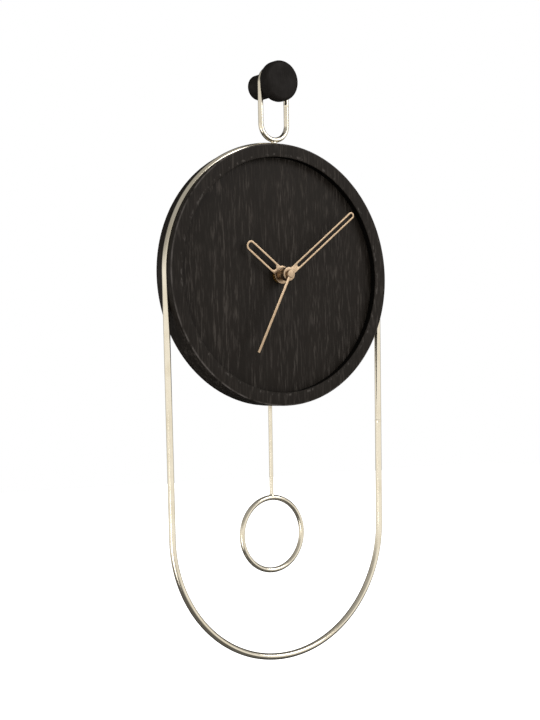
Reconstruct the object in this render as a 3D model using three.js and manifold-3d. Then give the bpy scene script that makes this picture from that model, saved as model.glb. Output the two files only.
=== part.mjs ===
// Pendulum wall clock: a round black wooden case in a long wire loop, hung by a wire link on a wall knob.
//
// Frame: millimetres, +Z up, +X to the right, and the clock faces -Y. The origin is the centre of the
// knob's wall face, so the wall is the plane y = 0. Everything that hangs on the knob is built about the
// case's own centre, hangDrop below the knob.

import * as THREE from "three";
import { mergeVertices } from "three/addons/utils/BufferGeometryUtils.js";
import Module from "manifold-3d";

const wasm = await Module();
wasm.setup();

// ---- Fits -------------------------------------------------------------------------------------------

const seat = 0.3; // gap between pieces that rest on, or fit in, each other
const running = 0.25; // radial gap round a turning arbor
const overlap = 0.2; // how far fused bodies of one piece run into each other
const through = 1; // how far a cutter runs past the face that it cuts

// ---- Facets: half the number of sides that a full circle of each kind gets ---------------------------

const dialArc = 36;
const socketArc = 18;
const plainArc = 12;
const magnetArc = 10;
const pinArc = 8;
const shankArc = 6;
const tubeArc = 4;
const roundSteps = 3; // in a quarter round

// ---- Wall knob --------------------------------------------------------------------------------------

const pegRadius = 9.75;
const discRadius = 15.5;
const discThickness = 10.8;
const discEdgeRadius = 2.6;
const discSegments = 32;
const pegSegments = 24;
const discRise = 0.5; // the disc sits a little high on the peg, as a lip that keeps the link on
const discBehindLink = 0.9; // gap between the link's wire and the back of the disc
const pegEdge = 0.6;
const tenonRadius = 5;
const tenonLength = 4;
const insertRadius = 4;
const insertBore = 2.3; // for the M5 end of the wall's own hanger screw
const insertLength = 13;
const insertSink = 0.5; // the insert stays this far inside the peg's wall face
const insertSegments = 20;

// ---- Case and dial ----------------------------------------------------------------------------------

const caseRadius = 100;
const caseDepth = 24;
const caseFront = 30; // distance from the wall to the front of the rim
const rimWidth = 10.2;
const rebateWidth = 1.4; // step behind the rim that the dial rests against
const dialRecess = 6;
const dialThickness = 2.5;
const frontEdgeChamfer = 0.8;
const rearEdgeRadius = 4.5;
const caseSegments = 60;

// ---- Wire loop and hanger link ----------------------------------------------------------------------

const loopWireRadius = 2.5;
const loopBehindFront = 9.6; // from the front of the rim back to the middle of the wire
const loopSunk = 3.3; // how far the wire lies below the case's round side
const loopNarrowing = 2.3; // how much smaller the bottom bend is than the top one
const loopSpan = 194.1; // between the centres of the top and bottom bends
const seamBelowCentre = 113; // the butt joint in the right leg
const seamGap = 0.3;
const wireSides = 8;
const loopSteps = 88;
const linkSteps = 34;
const ringSteps = 36;
const linkWireRadius = 2;
const linkSpan = 31.5; // between the centres of the link's two bends
const linkOnPeg = 0.25; // play between the link's top bend and the peg
const frameScrewShankRadius = 1.3;
const frameScrewHeadRadius = 2.6;
const frameScrewHeadHeight = 1.8;
const frameScrewInWire = 2.3;
const frameScrewSides = 16;

// ---- Pendulum ---------------------------------------------------------------------------------------

const pendulumDepth = 12.2; // from the movement's front back to the plane that the rod swings in
const ringRadius = 27.85;
const ringWireRadius = 2;
const ringBelowCentre = 198.6;
const rodRadius = 1.5;
const rodSides = 12;
const pivotBelowBay = 5.3; // from the battery bay down to the pivot
const pivotPinRadius = 1;
const armThickness = 2;
const armHalfWidth = 2.4;
const armEyeRadius = 3.2;
const armEyeProud = 1; // the eye's boss, in front of the arm
const hookProud = 1; // how far the hook's peg stands out of the rod's eye
const armLength = 27.5; // from the pivot to the hook
const hookBelowHousing = 4;
const hookPegRadius = 1.2;
const tongueHalfWidth = 2.6;
const tongueThickness = 1;
const magnetBelowPivot = 11.5;
const magnetRadius = 4;
const magnetThickness = 3;
const driveCoilRadius = 6;
const driveCoilCoreRadius = 2;
const airGap = 0.8; // between the magnet's face and the drive coil
const swingDegrees = 8;
const notchPlay = 2.5; // room beside the swinging rod where it passes under the case
const notchFrontPlay = 1.5;
const notchHeight = 6; // how far the notch runs up inside the case
const armSlotPlay = 2;

// ---- Movement housing -------------------------------------------------------------------------------

const housingDepth = 15.6;
const housingWall = 1.2;
const housingFrontWall = 1;
const housingAboveThird = 2.6; // room between the third wheel and the housing's top wall
const batteryBayTop = -17;
const coverThickness = 1.2;
const postRadius = 2.4;
const postInset = 4;
const coverScrewRadius = 1;
const coverScrewHeadRadius = 2;
const coverScrewHeadHeight = 1.2;
const coverScrewLength = 8;

// ---- Battery ----------------------------------------------------------------------------------------

const cellRadius = 7.25;
const cellLength = 49.5;
const cellButtonRadius = 2.75;
const cellButtonLength = 1;
const contactThickness = 0.4;
const contactHalf = 5;
const springRoom = 4.3; // what the spring contact takes of the bay's length
const cellPlay = 0.85; // room above and below the cell in its bay
const cellSides = 28;
const buttonSides = 16;

// ---- Centre stack: bushing, nut, tubes and hands ----------------------------------------------------

const bushingRadius = 4;
const bushingBore = 2.8;
const bushingFlangeRadius = 6;
const bushingFlangeThickness = 0.9;
const bushingProud = 3; // beyond the dial's face
const washerRadius = 6.2;
const washerThickness = 0.5;
const nutAcrossFlats = 10;
const nutThickness = 1.8;
const secondArborRadius = 0.7;
const minuteTubeOuter = 1.6;
const hourTubeOuter = 2.5;

const handThickness = 0.6;
const hourHandHeight = 4.5; // front of the hand above the dial
const hourTipRadius = 35.2; // from the axis to the centre of the round tip
const hourHalfWidth = 4.15;
const hourBarWidth = 1.95;
const hourSlotStart = 10;
const hourHubRadius = 6.9;
const hourCollarRadius = 3.7;
const hourCollarLength = 2;
const hourAngle = -53.4; // degrees clockwise from twelve
const minuteHandHeight = 13.4;
const minuteTipRadius = 76.9;
const minuteHalfWidth = 2.75;
const minuteBarWidth = 1.85;
const minuteSlotStart = 11.5;
const minuteHubRadius = 5.2;
const minuteCollarLength = 4.6;
const minuteAngle = 52.1;
const secondHandHeight = 15.3;
const secondLength = 67;
const secondHalfWidth = 1.05;
const secondCapRadius = 3;
const secondCapLength = 2.2;
const secondCapProud = 0.5;
const secondCapSkin = 1; // what is left of the cap in front of the arbor's bore
const secondAngle = 207.1;

// ---- Gear train -------------------------------------------------------------------------------------
// Rotor to seconds 30:1, seconds to minutes 60:1 and minutes to hours 12:1. The second wheel is the
// widest on the centre axis, so the third and motion arbors stand clear of its teeth, and the meshes on
// those axes take the modules that fit.

const rotorPinionTeeth = 6;
const intermediateTeeth = 36;
const intermediatePinionTeeth = 6;
const secondTeeth = 30;
const secondPinionTeeth = 6;
const thirdTeeth = 45;
const thirdPinionTeeth = 6;
const minuteTeeth = 48;
const cannonTeeth = 8;
const motionTeeth = 24;
const motionPinionTeeth = 8;
const hourTeeth = 32;

const rotorModule = 0.4;
const intermediateModule = 0.69;
const thirdArborClearance = 0.74; // from the second wheel's teeth to the third arbor
const motionArborClearance = 0.58; // and to the motion arbor

const addendum = 0.8; // tooth height above the pitch circle, in modules
const dedendum = 1.15; // and the depth below it
const toothShare = 0.34; // tooth width on the pitch circle, as a share of the pitch
const toothRootShare = 1.25; // width of the tooth's root, as a share of its width on the pitch circle
const toothTipShare = 0.4; // and of its tip
const pinionMargin = 0.6; // how far a pinion runs past the wheel that it turns, or is turned by
const wheelThickness = 0.9;
const arborRadius = 0.6;
const motionArborRadius = 1;
const settingKnobRadius = 5;
const settingKnobThickness = 2.2;
const settingKnobSides = 20;

const thirdBearing = 100; // degrees from +X, where each wheel stands round the centre
const intermediateBearing = -10;
const rotorBearing = -5; // from the intermediate wheel
const motionBearing = 195;

// Distances from the movement's front back to the rear face of each wheel
const secondWheelDepth = 14.8;
const thirdWheelDepth = 12.3;
const intermediateWheelDepth = 10.4;
const minuteWheelDepth = 9;
const motionWheelDepth = 6.6;
const hourWheelDepth = 3.6;

// ---- Motor ------------------------------------------------------------------------------------------

const rotorMagnetRadius = 3;
const rotorMagnetThickness = 2.2;
const rotorSleeveRadius = 0.8;
const statorThickness = 1;
const statorDepth = 7.2; // from the movement's front back to the stator's rear face
const statorBesideArbor = 1.67; // from the intermediate arbor to the stator's left edge
const statorBottom = -8.5;
const statorTop = 2.5;
const coreFromWall = 3.8; // from the core's middle to the housing's right wall
const coreHalfWidth = 1.2;
const coreTop = 20.3;
const coilRadius = 3.4;
const coilBottom = 4.5;
const coilTop = 19;
const coilSides = 20;
const boardThickness = 0.8;
const boardTop = 8;
const boardDepth = 2.4; // from the movement's front back to the board's rear face
const crystalRadius = 1.5;
const crystalLength = 6;
const crystalSides = 14;
const crystalBesideCore = 3;
const crystalZ = -12;

// ---- Finishes ---------------------------------------------------------------------------------------

function finish(color, roughness, metalness) {
  return () => new THREE.MeshStandardMaterial({ color, roughness, metalness });
}
const blackWood = finish(0x282421, 0.62, 0);
const champagneWire = finish(0xd9cbb0, 0.16, 1);
const copperHand = finish(0xd2b196, 0.32, 1);
const steel = finish(0x9a9c9f, 0.35, 1);
const brass = finish(0xc9a45c, 0.3, 1);
const copperWindings = finish(0xa8552c, 0.4, 1);
const blackPlastic = finish(0x17181a, 0.5, 0);
const whitePlastic = finish(0xe6e3da, 0.45, 0);
const greenBoard = finish(0x1d5a35, 0.5, 0);
const darkMagnet = finish(0x3a3a3e, 0.45, 0.6);
const cellJacket = finish(0x3c4450, 0.3, 0.5);

// ---- Worked-out places ------------------------------------------------------------------------------

const radians = THREE.MathUtils.degToRad;
const dialFront = -caseFront + dialRecess;
const dialBack = dialFront + dialThickness;
const caseBack = -caseFront + caseDepth;
const loopPlane = -caseFront + loopBehindFront;
const knobLength = -loopPlane + linkWireRadius + discBehindLink + discThickness;
const loopTopRadius = caseRadius - loopSunk + loopWireRadius;
const loopBottomRadius = loopTopRadius - loopNarrowing;
const linkBend = pegRadius + linkOnPeg + linkWireRadius;
// from the knob's axis down to the case's centre
const hangDrop = linkSpan + linkBend + linkWireRadius + seat + loopWireRadius + loopTopRadius;
const rimInner = caseRadius - rimWidth;
const rebateRadius = rimInner + rebateWidth;
const wireInner = loopTopRadius - loopWireRadius;
const counterboreFloor = rebateRadius + frameScrewHeadHeight + 2 * seat;
const housingFront = dialBack + seat;
const housingFloor = housingFront + housingFrontWall;
const housingRear = housingFront + housingDepth;
const coverFront = housingRear + seat;
const coverRear = coverFront + coverThickness;
const arborFront = housingFront + seat;
const arborRear = coverRear - seat;
const pendulumPlane = housingFront + pendulumDepth;
const pocketHalfWidth = (cellLength + cellButtonLength + 2 * contactThickness + springRoom) / 2;
const housingHalfWidth = pocketHalfWidth + housingWall;
const batteryBayBottom = batteryBayTop - 2 * (cellRadius + cellPlay);
const pivotBelowCentre = pivotBelowBay - batteryBayBottom;
const magnetBelowCentre = pivotBelowCentre + magnetBelowPivot;
const hookBelowCentre = pivotBelowCentre + armLength;
const housingBottom = hookBelowHousing - hookBelowCentre;
const boardBottom = batteryBayTop + housingWall + 2 * seat;
const secondWheelRear = housingFront + secondWheelDepth;
const thirdWheelRear = housingFront + thirdWheelDepth;
const intermediateWheelRear = housingFront + intermediateWheelDepth;
const minuteWheelRear = housingFront + minuteWheelDepth;
const motionWheelRear = housingFront + motionWheelDepth;
const hourWheelRear = housingFront + hourWheelDepth;
const statorRear = housingFront + statorDepth;
const boardRear = housingFront + boardDepth;
const minuteTubeBore = secondArborRadius + running;
const hourTubeBore = minuteTubeOuter + running;

function centreDistance(module, teethA, teethB) {
  return (module * (teethA + teethB)) / 2;
}
function moduleFor(distance, teethA, teethB) {
  return (2 * distance) / (teethA + teethB);
}
function tipRadius(module, teeth) {
  return module * (teeth / 2 + addendum);
}
const secondTipRadius = tipRadius(intermediateModule, secondTeeth);
const thirdDistance = secondTipRadius + thirdArborClearance + arborRadius;
const thirdModule = moduleFor(thirdDistance, secondPinionTeeth, thirdTeeth);
const minuteModule = moduleFor(thirdDistance, thirdPinionTeeth, minuteTeeth);
const motionDistance = secondTipRadius + motionArborClearance + motionArborRadius;
const motionModule = moduleFor(motionDistance, cannonTeeth, motionTeeth);
const hourModule = moduleFor(motionDistance, motionPinionTeeth, hourTeeth);
const intermediateDistance = centreDistance(intermediateModule, intermediatePinionTeeth, secondTeeth);
const rotorDistance = centreDistance(rotorModule, rotorPinionTeeth, intermediateTeeth);

// Places in the plane of the dial are Vector2 with x to the right and y up, from the case's centre
function polar(distance, degrees) {
  return new THREE.Vector2(distance * Math.cos(radians(degrees)), distance * Math.sin(radians(degrees)));
}
const centreAxis = new THREE.Vector2(0, 0);
const thirdAxis = polar(thirdDistance, thirdBearing);
const intermediateAxis = polar(intermediateDistance, intermediateBearing);
const rotorAxis = intermediateAxis.clone().add(polar(rotorDistance, rotorBearing));
const motionAxis = polar(motionDistance, motionBearing);
const pivotPlace = new THREE.Vector2(0, -pivotBelowCentre);
const statorLeft = intermediateAxis.x + arborRadius + statorBesideArbor;
const coreX = pocketHalfWidth - coreFromWall;
const housingTop = thirdAxis.y + tipRadius(thirdModule, thirdTeeth) + housingAboveThird + housingWall;
const postX = housingHalfWidth - postInset;
const postPlaces = [
  new THREE.Vector2(-postX, housingTop - postInset),
  new THREE.Vector2(postX, housingTop - postInset),
  new THREE.Vector2(-postX, housingBottom + postInset),
  new THREE.Vector2(postX, housingBottom + postInset),
];

// ---- Shape tools ------------------------------------------------------------------------------------

// An outline drawn as (x, z), made a slab between two planes of constant y
function slab(shape, front, back, curveSegments = plainArc) {
  const depth = back - front;
  const geometry = new THREE.ExtrudeGeometry(shape, { depth, bevelEnabled: false, curveSegments });
  return geometry.rotateX(Math.PI / 2).translate(0, back, 0);
}

function circleShape(radius, centre = centreAxis) {
  const shape = new THREE.Shape();
  shape.absarc(centre.x, centre.y, radius, 0, 2 * Math.PI, false);
  return shape;
}

function ringShape(outer, bore, centre = centreAxis) {
  const shape = circleShape(outer, centre);
  shape.holes.push(circleShape(bore, centre));
  return shape;
}

function boxShape(left, bottom, right, top) {
  return new THREE.Shape([
    new THREE.Vector2(left, bottom),
    new THREE.Vector2(right, bottom),
    new THREE.Vector2(right, top),
    new THREE.Vector2(left, top),
  ]);
}

function rod(radius, front, back, centre = centreAxis, curveSegments = plainArc) {
  return slab(circleShape(radius, centre), front, back, curveSegments);
}

function tube(outer, bore, front, back, centre = centreAxis, curveSegments = plainArc) {
  return slab(ringShape(outer, bore, centre), front, back, curveSegments);
}

// A closed profile of (radius, y) points turned about the Y axis
function turned(points, segments) {
  return new THREE.LatheGeometry(points.map(([radius, y]) => new THREE.Vector2(radius, y)), segments);
}

// Points of a quarter round between two directions, in degrees, about (radius, y)
function roundEdge(radius, y, edge, fromDegrees, toDegrees) {
  return Array.from({ length: roundSteps + 1 }, (_, i) => {
    const angle = radians(fromDegrees + ((toDegrees - fromDegrees) * i) / roundSteps);
    return [radius + edge * Math.cos(angle), y + edge * Math.sin(angle)];
  });
}

// ---- Booleans ---------------------------------------------------------------------------------------

function toSolid(geometry) {
  const plain = geometry.clone();
  plain.deleteAttribute("normal");
  plain.deleteAttribute("uv");
  const merged = mergeVertices(plain, 1e-4);
  return new wasm.Manifold(
    new wasm.Mesh({
      numProp: 3,
      vertProperties: new Float32Array(merged.attributes.position.array),
      triVerts: new Uint32Array(merged.index.array),
    }),
  );
}

function toGeometry(solid) {
  const mesh = solid.getMesh();
  const geometry = new THREE.BufferGeometry();
  geometry.setAttribute("position", new THREE.BufferAttribute(mesh.vertProperties, 3));
  geometry.setIndex(new THREE.BufferAttribute(mesh.triVerts, 1));
  return geometry;
}

function join(...geometries) {
  return toGeometry(geometries.map(toSolid).reduce((whole, next) => whole.add(next)));
}

function cut(geometry, ...cutters) {
  return toGeometry(cutters.map(toSolid).reduce((whole, next) => whole.subtract(next), toSolid(geometry)));
}

// ---- Wire loops -------------------------------------------------------------------------------------

// The middle line of a wire bent round a top circle about z = 0 and a bottom circle span below it, in the
// loop's plane. It starts at the butt joint in the right leg, goes up and round the top, down the left
// leg and round the bottom.
class WireLoopCurve extends THREE.Curve {
  constructor(topRadius, bottomRadius, span, seamDrop) {
    super();
    this.topRadius = topRadius;
    this.bottomRadius = bottomRadius;
    this.span = span;
    this.lean = Math.asin((topRadius - bottomRadius) / span);
    this.leg = Math.hypot(span, topRadius - bottomRadius) * Math.cos(this.lean) ** 2;
    this.upperLeg = (seamDrop - topRadius * Math.sin(this.lean)) / Math.cos(this.lean);
    this.topArc = topRadius * (Math.PI + 2 * this.lean);
    this.bottomArc = bottomRadius * (Math.PI - 2 * this.lean);
    this.total = 2 * this.leg + this.topArc + this.bottomArc;
  }

  getPoint(t, target = new THREE.Vector3()) {
    const { lean, leg, upperLeg, topArc, bottomArc, topRadius, bottomRadius, span } = this;
    let along = seamGap / 2 + t * (this.total - seamGap);
    const slope = new THREE.Vector2(Math.sin(lean), Math.cos(lean));
    let x;
    let z;
    if (along <= upperLeg) {
      x = topRadius * Math.cos(lean) - (upperLeg - along) * slope.x;
      z = -topRadius * Math.sin(lean) - (upperLeg - along) * slope.y;
    } else if ((along -= upperLeg) <= topArc) {
      const angle = -lean + along / topRadius;
      x = topRadius * Math.cos(angle);
      z = topRadius * Math.sin(angle);
    } else if ((along -= topArc) <= leg) {
      x = -topRadius * Math.cos(lean) + along * slope.x;
      z = -topRadius * Math.sin(lean) - along * slope.y;
    } else if ((along -= leg) <= bottomArc) {
      const angle = Math.PI + lean + along / bottomRadius;
      x = bottomRadius * Math.cos(angle);
      z = -span + bottomRadius * Math.sin(angle);
    } else {
      along -= bottomArc;
      x = bottomRadius * Math.cos(lean) + along * slope.x;
      z = -span - bottomRadius * Math.sin(lean) + along * slope.y;
    }
    return target.set(x, loopPlane, z);
  }
}

function wire(path, radius, steps) {
  const section = new THREE.Shape();
  section.absarc(0, 0, radius, 0, 2 * Math.PI, false);
  return new THREE.ExtrudeGeometry(section, { steps, extrudePath: path, curveSegments: wireSides / 2 });
}

// ---- Gears ------------------------------------------------------------------------------------------

// A toothed outline with straight-sided teeth. One tooth points along startAngle.
function gearShape(teeth, module, startAngle, centre, bore = 0) {
  const pitchRadius = (module * teeth) / 2;
  const tip = tipRadius(module, teeth);
  const root = pitchRadius - dedendum * module;
  const pitchAngle = (2 * Math.PI) / teeth;
  const rootHalf = (toothShare * toothRootShare * pitchAngle) / 2;
  const tipHalf = (toothShare * toothTipShare * pitchAngle) / 2;
  const toothCorners = [[root, -rootHalf], [tip, -tipHalf], [tip, tipHalf], [root, rootHalf]];
  const outline = [];
  for (let i = 0; i < teeth; i++) {
    const middle = startAngle + i * pitchAngle;
    for (const [radius, offset] of toothCorners) {
      const angle = middle + offset;
      const spoke = new THREE.Vector2(Math.cos(angle), Math.sin(angle));
      outline.push(spoke.multiplyScalar(radius).add(centre));
    }
  }
  const shape = new THREE.Shape(outline);
  if (bore > 0) shape.holes.push(circleShape(bore, centre));
  return shape;
}

// The angle of the line from one axis to another
function bearing(from, to) {
  return Math.atan2(to.y - from.y, to.x - from.x);
}

// In each pair the wheel has a tooth, and the pinion a gap, on the line between their axes
function wheelOutline(teeth, module, axis, pinionAxis, bore) {
  return gearShape(teeth, module, bearing(axis, pinionAxis), axis, bore);
}

function pinionOutline(teeth, module, axis, wheelAxis, bore) {
  return gearShape(teeth, module, bearing(axis, wheelAxis) + Math.PI / teeth, axis, bore);
}

function wheelSlab(outline, rear) {
  return slab(outline, rear - wheelThickness, rear, tubeArc);
}

// A moulded wheel and pinion on one arbor
function compoundWheel(axis, wheel, wheelRear, pinion, pinionEnd, radius = arborRadius, rear = arborRear) {
  const front = Math.min(pinionEnd, wheelRear - wheelThickness + overlap);
  const back = Math.max(pinionEnd, wheelRear - overlap);
  return join(
    wheelSlab(wheel, wheelRear),
    slab(pinion, front, back, tubeArc),
    rod(radius, arborFront, rear, axis, pinArc),
  );
}

// ---- Assembly ---------------------------------------------------------------------------------------

const clock = new THREE.Group();
const hung = new THREE.Group(); // everything on the link, about the case's centre
hung.position.z = -hangDrop;
clock.add(hung);

function addPiece(parent, name, geometry, material) {
  const mesh = new THREE.Mesh(geometry, material());
  mesh.name = name;
  parent.add(mesh);
}

// Wall knob

function buildKnob() {
  const discBack = -knobLength + discThickness;
  const shoulder = discBack + seat;
  const tenonEnd = shoulder - tenonLength;
  const bore = insertRadius + seat;
  const insertEnd = -insertSink - insertLength;
  const peg = turned([
    [bore, 0],
    [bore, insertEnd - seat],
    [0, insertEnd - seat],
    [0, tenonEnd],
    [tenonRadius, tenonEnd],
    [tenonRadius, shoulder],
    [pegRadius, shoulder],
    [pegRadius, -pegEdge],
    [pegRadius - pegEdge, 0],
    [bore, 0],
  ], pegSegments);
  addPiece(clock, "knob_peg", peg, blackWood);

  const edge = discEdgeRadius;
  const flat = discRadius - edge;
  const disc = turned([
    [0, -knobLength],
    ...roundEdge(flat, -knobLength + edge, edge, -90, 0),
    ...roundEdge(flat, discBack - edge, edge, 0, 90),
    [0, discBack],
  ], discSegments).translate(0, 0, discRise);
  const socketDepth = tenonEnd - seat;
  const socket = rod(tenonRadius + seat, socketDepth, discBack + through, centreAxis, socketArc);
  addPiece(clock, "knob_disc", cut(disc, socket), blackWood);

  const insert = turned([
    [insertBore, -insertSink],
    [insertBore, insertEnd],
    [insertRadius, insertEnd],
    [insertRadius, -insertSink],
    [insertBore, -insertSink],
  ], insertSegments);
  addPiece(clock, "knob_insert", insert, brass);
}

// Case and dial

function frameScrewBearings() {
  return [["top", 90], ["left", 180], ["right", 0]];
}

// A round bar that lies along a radius of the case, in the plane of the loop
function radialBar(radius, inner, outer, degrees) {
  const bar = new THREE.CylinderGeometry(radius, radius, outer - inner, frameScrewSides);
  bar.rotateZ(-Math.PI / 2).translate((inner + outer) / 2, loopPlane, 0);
  return bar.rotateY(-radians(degrees));
}

function buildCase() {
  const ledge = dialFront - seat;
  const rearFlat = caseRadius - rearEdgeRadius;
  const profile = [
    [rimInner, -caseFront],
    [caseRadius - frontEdgeChamfer, -caseFront],
    [caseRadius, -caseFront + frontEdgeChamfer],
    ...roundEdge(rearFlat, caseBack - rearEdgeRadius, rearEdgeRadius, 0, 90),
    [rebateRadius, caseBack],
    [rebateRadius, ledge],
    [rimInner, ledge],
    [rimInner, -caseFront],
  ];
  const ring = turned(profile, caseSegments);
  const swing = Math.tan(radians(swingDegrees));
  const notchHalf = (caseRadius - pivotBelowCentre) * swing + rodRadius + notchPlay;
  const notchFront = pendulumPlane - rodRadius - notchFrontPlay;
  const notchOutline = boxShape(-notchHalf, -caseRadius - through, notchHalf, -rebateRadius + notchHeight);
  // The groove follows the wire: round the upper half, then straight down until it runs out of the side
  const groovePath = new WireLoopCurve(loopTopRadius, loopBottomRadius, loopSpan, seamBelowCentre);
  const groove = wire(groovePath, loopWireRadius + seat, loopSteps);
  const cutters = [slab(notchOutline, notchFront, caseBack + through), groove];
  for (const [, degrees] of frameScrewBearings()) {
    const start = rebateRadius - through;
    cutters.push(radialBar(frameScrewShankRadius + seat, start, caseRadius, degrees));
    cutters.push(radialBar(frameScrewHeadRadius + seat, start, counterboreFloor, degrees));
  }
  addPiece(hung, "case_ring", cut(ring, ...cutters), blackWood);

  const dial = tube(rebateRadius - seat, bushingRadius + seat, dialFront, dialBack, centreAxis, dialArc);
  addPiece(hung, "dial_panel", dial, blackWood);
}

// Wire loop, hanger link and the screws that hold the loop to the case

function buildWires() {
  const loopPath = new WireLoopCurve(loopTopRadius, loopBottomRadius, loopSpan, seamBelowCentre);
  const screwTip = wireInner + frameScrewInWire;
  const screwHoles = frameScrewBearings().map(([, degrees]) =>
    radialBar(frameScrewShankRadius + seat, wireInner - through, screwTip + seat, degrees));
  const loop = cut(wire(loopPath, loopWireRadius, loopSteps), ...screwHoles);
  addPiece(hung, "loop_frame", loop, champagneWire);

  const linkPath = new WireLoopCurve(linkBend, linkBend, linkSpan, linkSpan / 2);
  addPiece(clock, "hanger_link", wire(linkPath, linkWireRadius, linkSteps), champagneWire);

  for (const [place, degrees] of frameScrewBearings()) {
    const headInner = counterboreFloor - seat - frameScrewHeadHeight;
    const shank = radialBar(frameScrewShankRadius, headInner + overlap, screwTip, degrees);
    const head = radialBar(frameScrewHeadRadius, headInner, headInner + frameScrewHeadHeight, degrees);
    addPiece(hung, `frame_screw_${place}`, join(head, shank), steel);
  }
}

// Movement housing, its cover and screws

function buildHousing() {
  const rear = housingRear;
  const bottom = housingBottom;
  const open = rear + through;
  const outline = boxShape(-housingHalfWidth, bottom, housingHalfWidth, housingTop);
  const block = slab(outline, housingFront, rear);
  const pockets = [
    [batteryBayTop + housingWall, housingTop - housingWall],
    [batteryBayBottom, batteryBayTop],
    [bottom + housingWall, batteryBayBottom - housingWall],
  ].map(([low, high]) => slab(boxShape(-pocketHalfWidth, low, pocketHalfWidth, high), housingFloor, open));
  const armSwing = (-bottom - pivotBelowCentre) * Math.tan(radians(swingDegrees));
  const armSlotHalf = armSwing + armHalfWidth + armSlotPlay;
  const armSlotTop = bottom + housingWall + through;
  const armSlotOutline = boxShape(-armSlotHalf, bottom - through, armSlotHalf, armSlotTop);
  const armSlot = slab(armSlotOutline, pendulumPlane - magnetThickness, open);
  const tray = cut(block, ...pockets, armSlot);
  const posts = postPlaces.map((place) => rod(postRadius, housingFloor - overlap, rear, place, pinArc));
  function frontHole(radius, place, arc = pinArc) {
    return rod(radius, housingFront - through, housingFloor + through, place, arc);
  }
  const holes = [
    frontHole(bushingRadius + seat, centreAxis, plainArc),
    frontHole(pivotPinRadius + seat, pivotPlace),
    ...[thirdAxis, intermediateAxis, rotorAxis].map((axis) => frontHole(arborRadius + running, axis)),
    frontHole(motionArborRadius + running, motionAxis),
    ...postPlaces.map((place) =>
      rod(coverScrewRadius + seat, coverRear - coverScrewLength, open, place, pinArc)),
  ];
  addPiece(hung, "movement_housing", cut(join(tray, ...posts), ...holes), blackPlastic);

  const plate = outline.clone();
  plate.holes.push(boxShape(-pocketHalfWidth, batteryBayBottom, pocketHalfWidth, batteryBayTop));
  const pivotHoles = [
    [centreAxis, secondArborRadius + running],
    [thirdAxis, arborRadius + running],
    [intermediateAxis, arborRadius + running],
    [rotorAxis, arborRadius + running],
    [motionAxis, motionArborRadius + running],
    [pivotPlace, pivotPinRadius + seat],
    ...postPlaces.map((place) => [place, coverScrewRadius + seat]),
  ];
  for (const [place, radius] of pivotHoles) plate.holes.push(circleShape(radius, place));
  addPiece(hung, "movement_cover", slab(plate, coverFront, coverRear, tubeArc), blackPlastic);

  postPlaces.forEach((place, i) => {
    const under = coverRear + seat;
    const shank = rod(coverScrewRadius, under - coverScrewLength, under + overlap, place, shankArc);
    const head = rod(coverScrewHeadRadius, under, under + coverScrewHeadHeight, place, pinArc);
    addPiece(hung, `cover_screw_${i + 1}`, join(shank, head), steel);
  });
}

// Threaded bushing, washer and nut that clamp the movement to the dial

function buildBushing() {
  const front = dialFront - bushingProud;
  const flangeFront = housingFloor + seat;
  const bushing = join(
    tube(bushingRadius, bushingBore, front, flangeFront + overlap),
    tube(bushingFlangeRadius, bushingBore, flangeFront, flangeFront + bushingFlangeThickness),
  );
  addPiece(hung, "shaft_bushing", bushing, brass);

  const washerBack = dialFront - seat;
  const bore = bushingRadius + seat;
  addPiece(hung, "dial_washer", tube(washerRadius, bore, washerBack - washerThickness, washerBack), brass);

  const nutBack = washerBack - washerThickness - seat;
  const corner = nutAcrossFlats / Math.sqrt(3);
  const nut = new THREE.Shape(Array.from({ length: 6 }, (_, i) => polar(corner, 60 * i)));
  nut.holes.push(circleShape(bore));
  addPiece(hung, "shaft_nut", slab(nut, nutBack - nutThickness, nutBack), brass);
}

// Hands: each outline points up, and is then turned clockwise to its place

function slottedHand(tipRadius, halfWidth, barWidth, slotStart, hubRadius) {
  const shape = new THREE.Shape();
  const meet = Math.acos(halfWidth / hubRadius);
  shape.absarc(0, 0, hubRadius, Math.PI - meet, 2 * Math.PI + meet, false);
  shape.lineTo(halfWidth, tipRadius);
  shape.absarc(0, tipRadius, halfWidth, 0, Math.PI, false);
  const inner = halfWidth - barWidth;
  const slot = new THREE.Path();
  slot.absarc(0, tipRadius, inner, 0, Math.PI, false);
  slot.absarc(0, slotStart, inner, Math.PI, 2 * Math.PI, false);
  shape.holes.push(slot);
  return shape;
}

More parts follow.
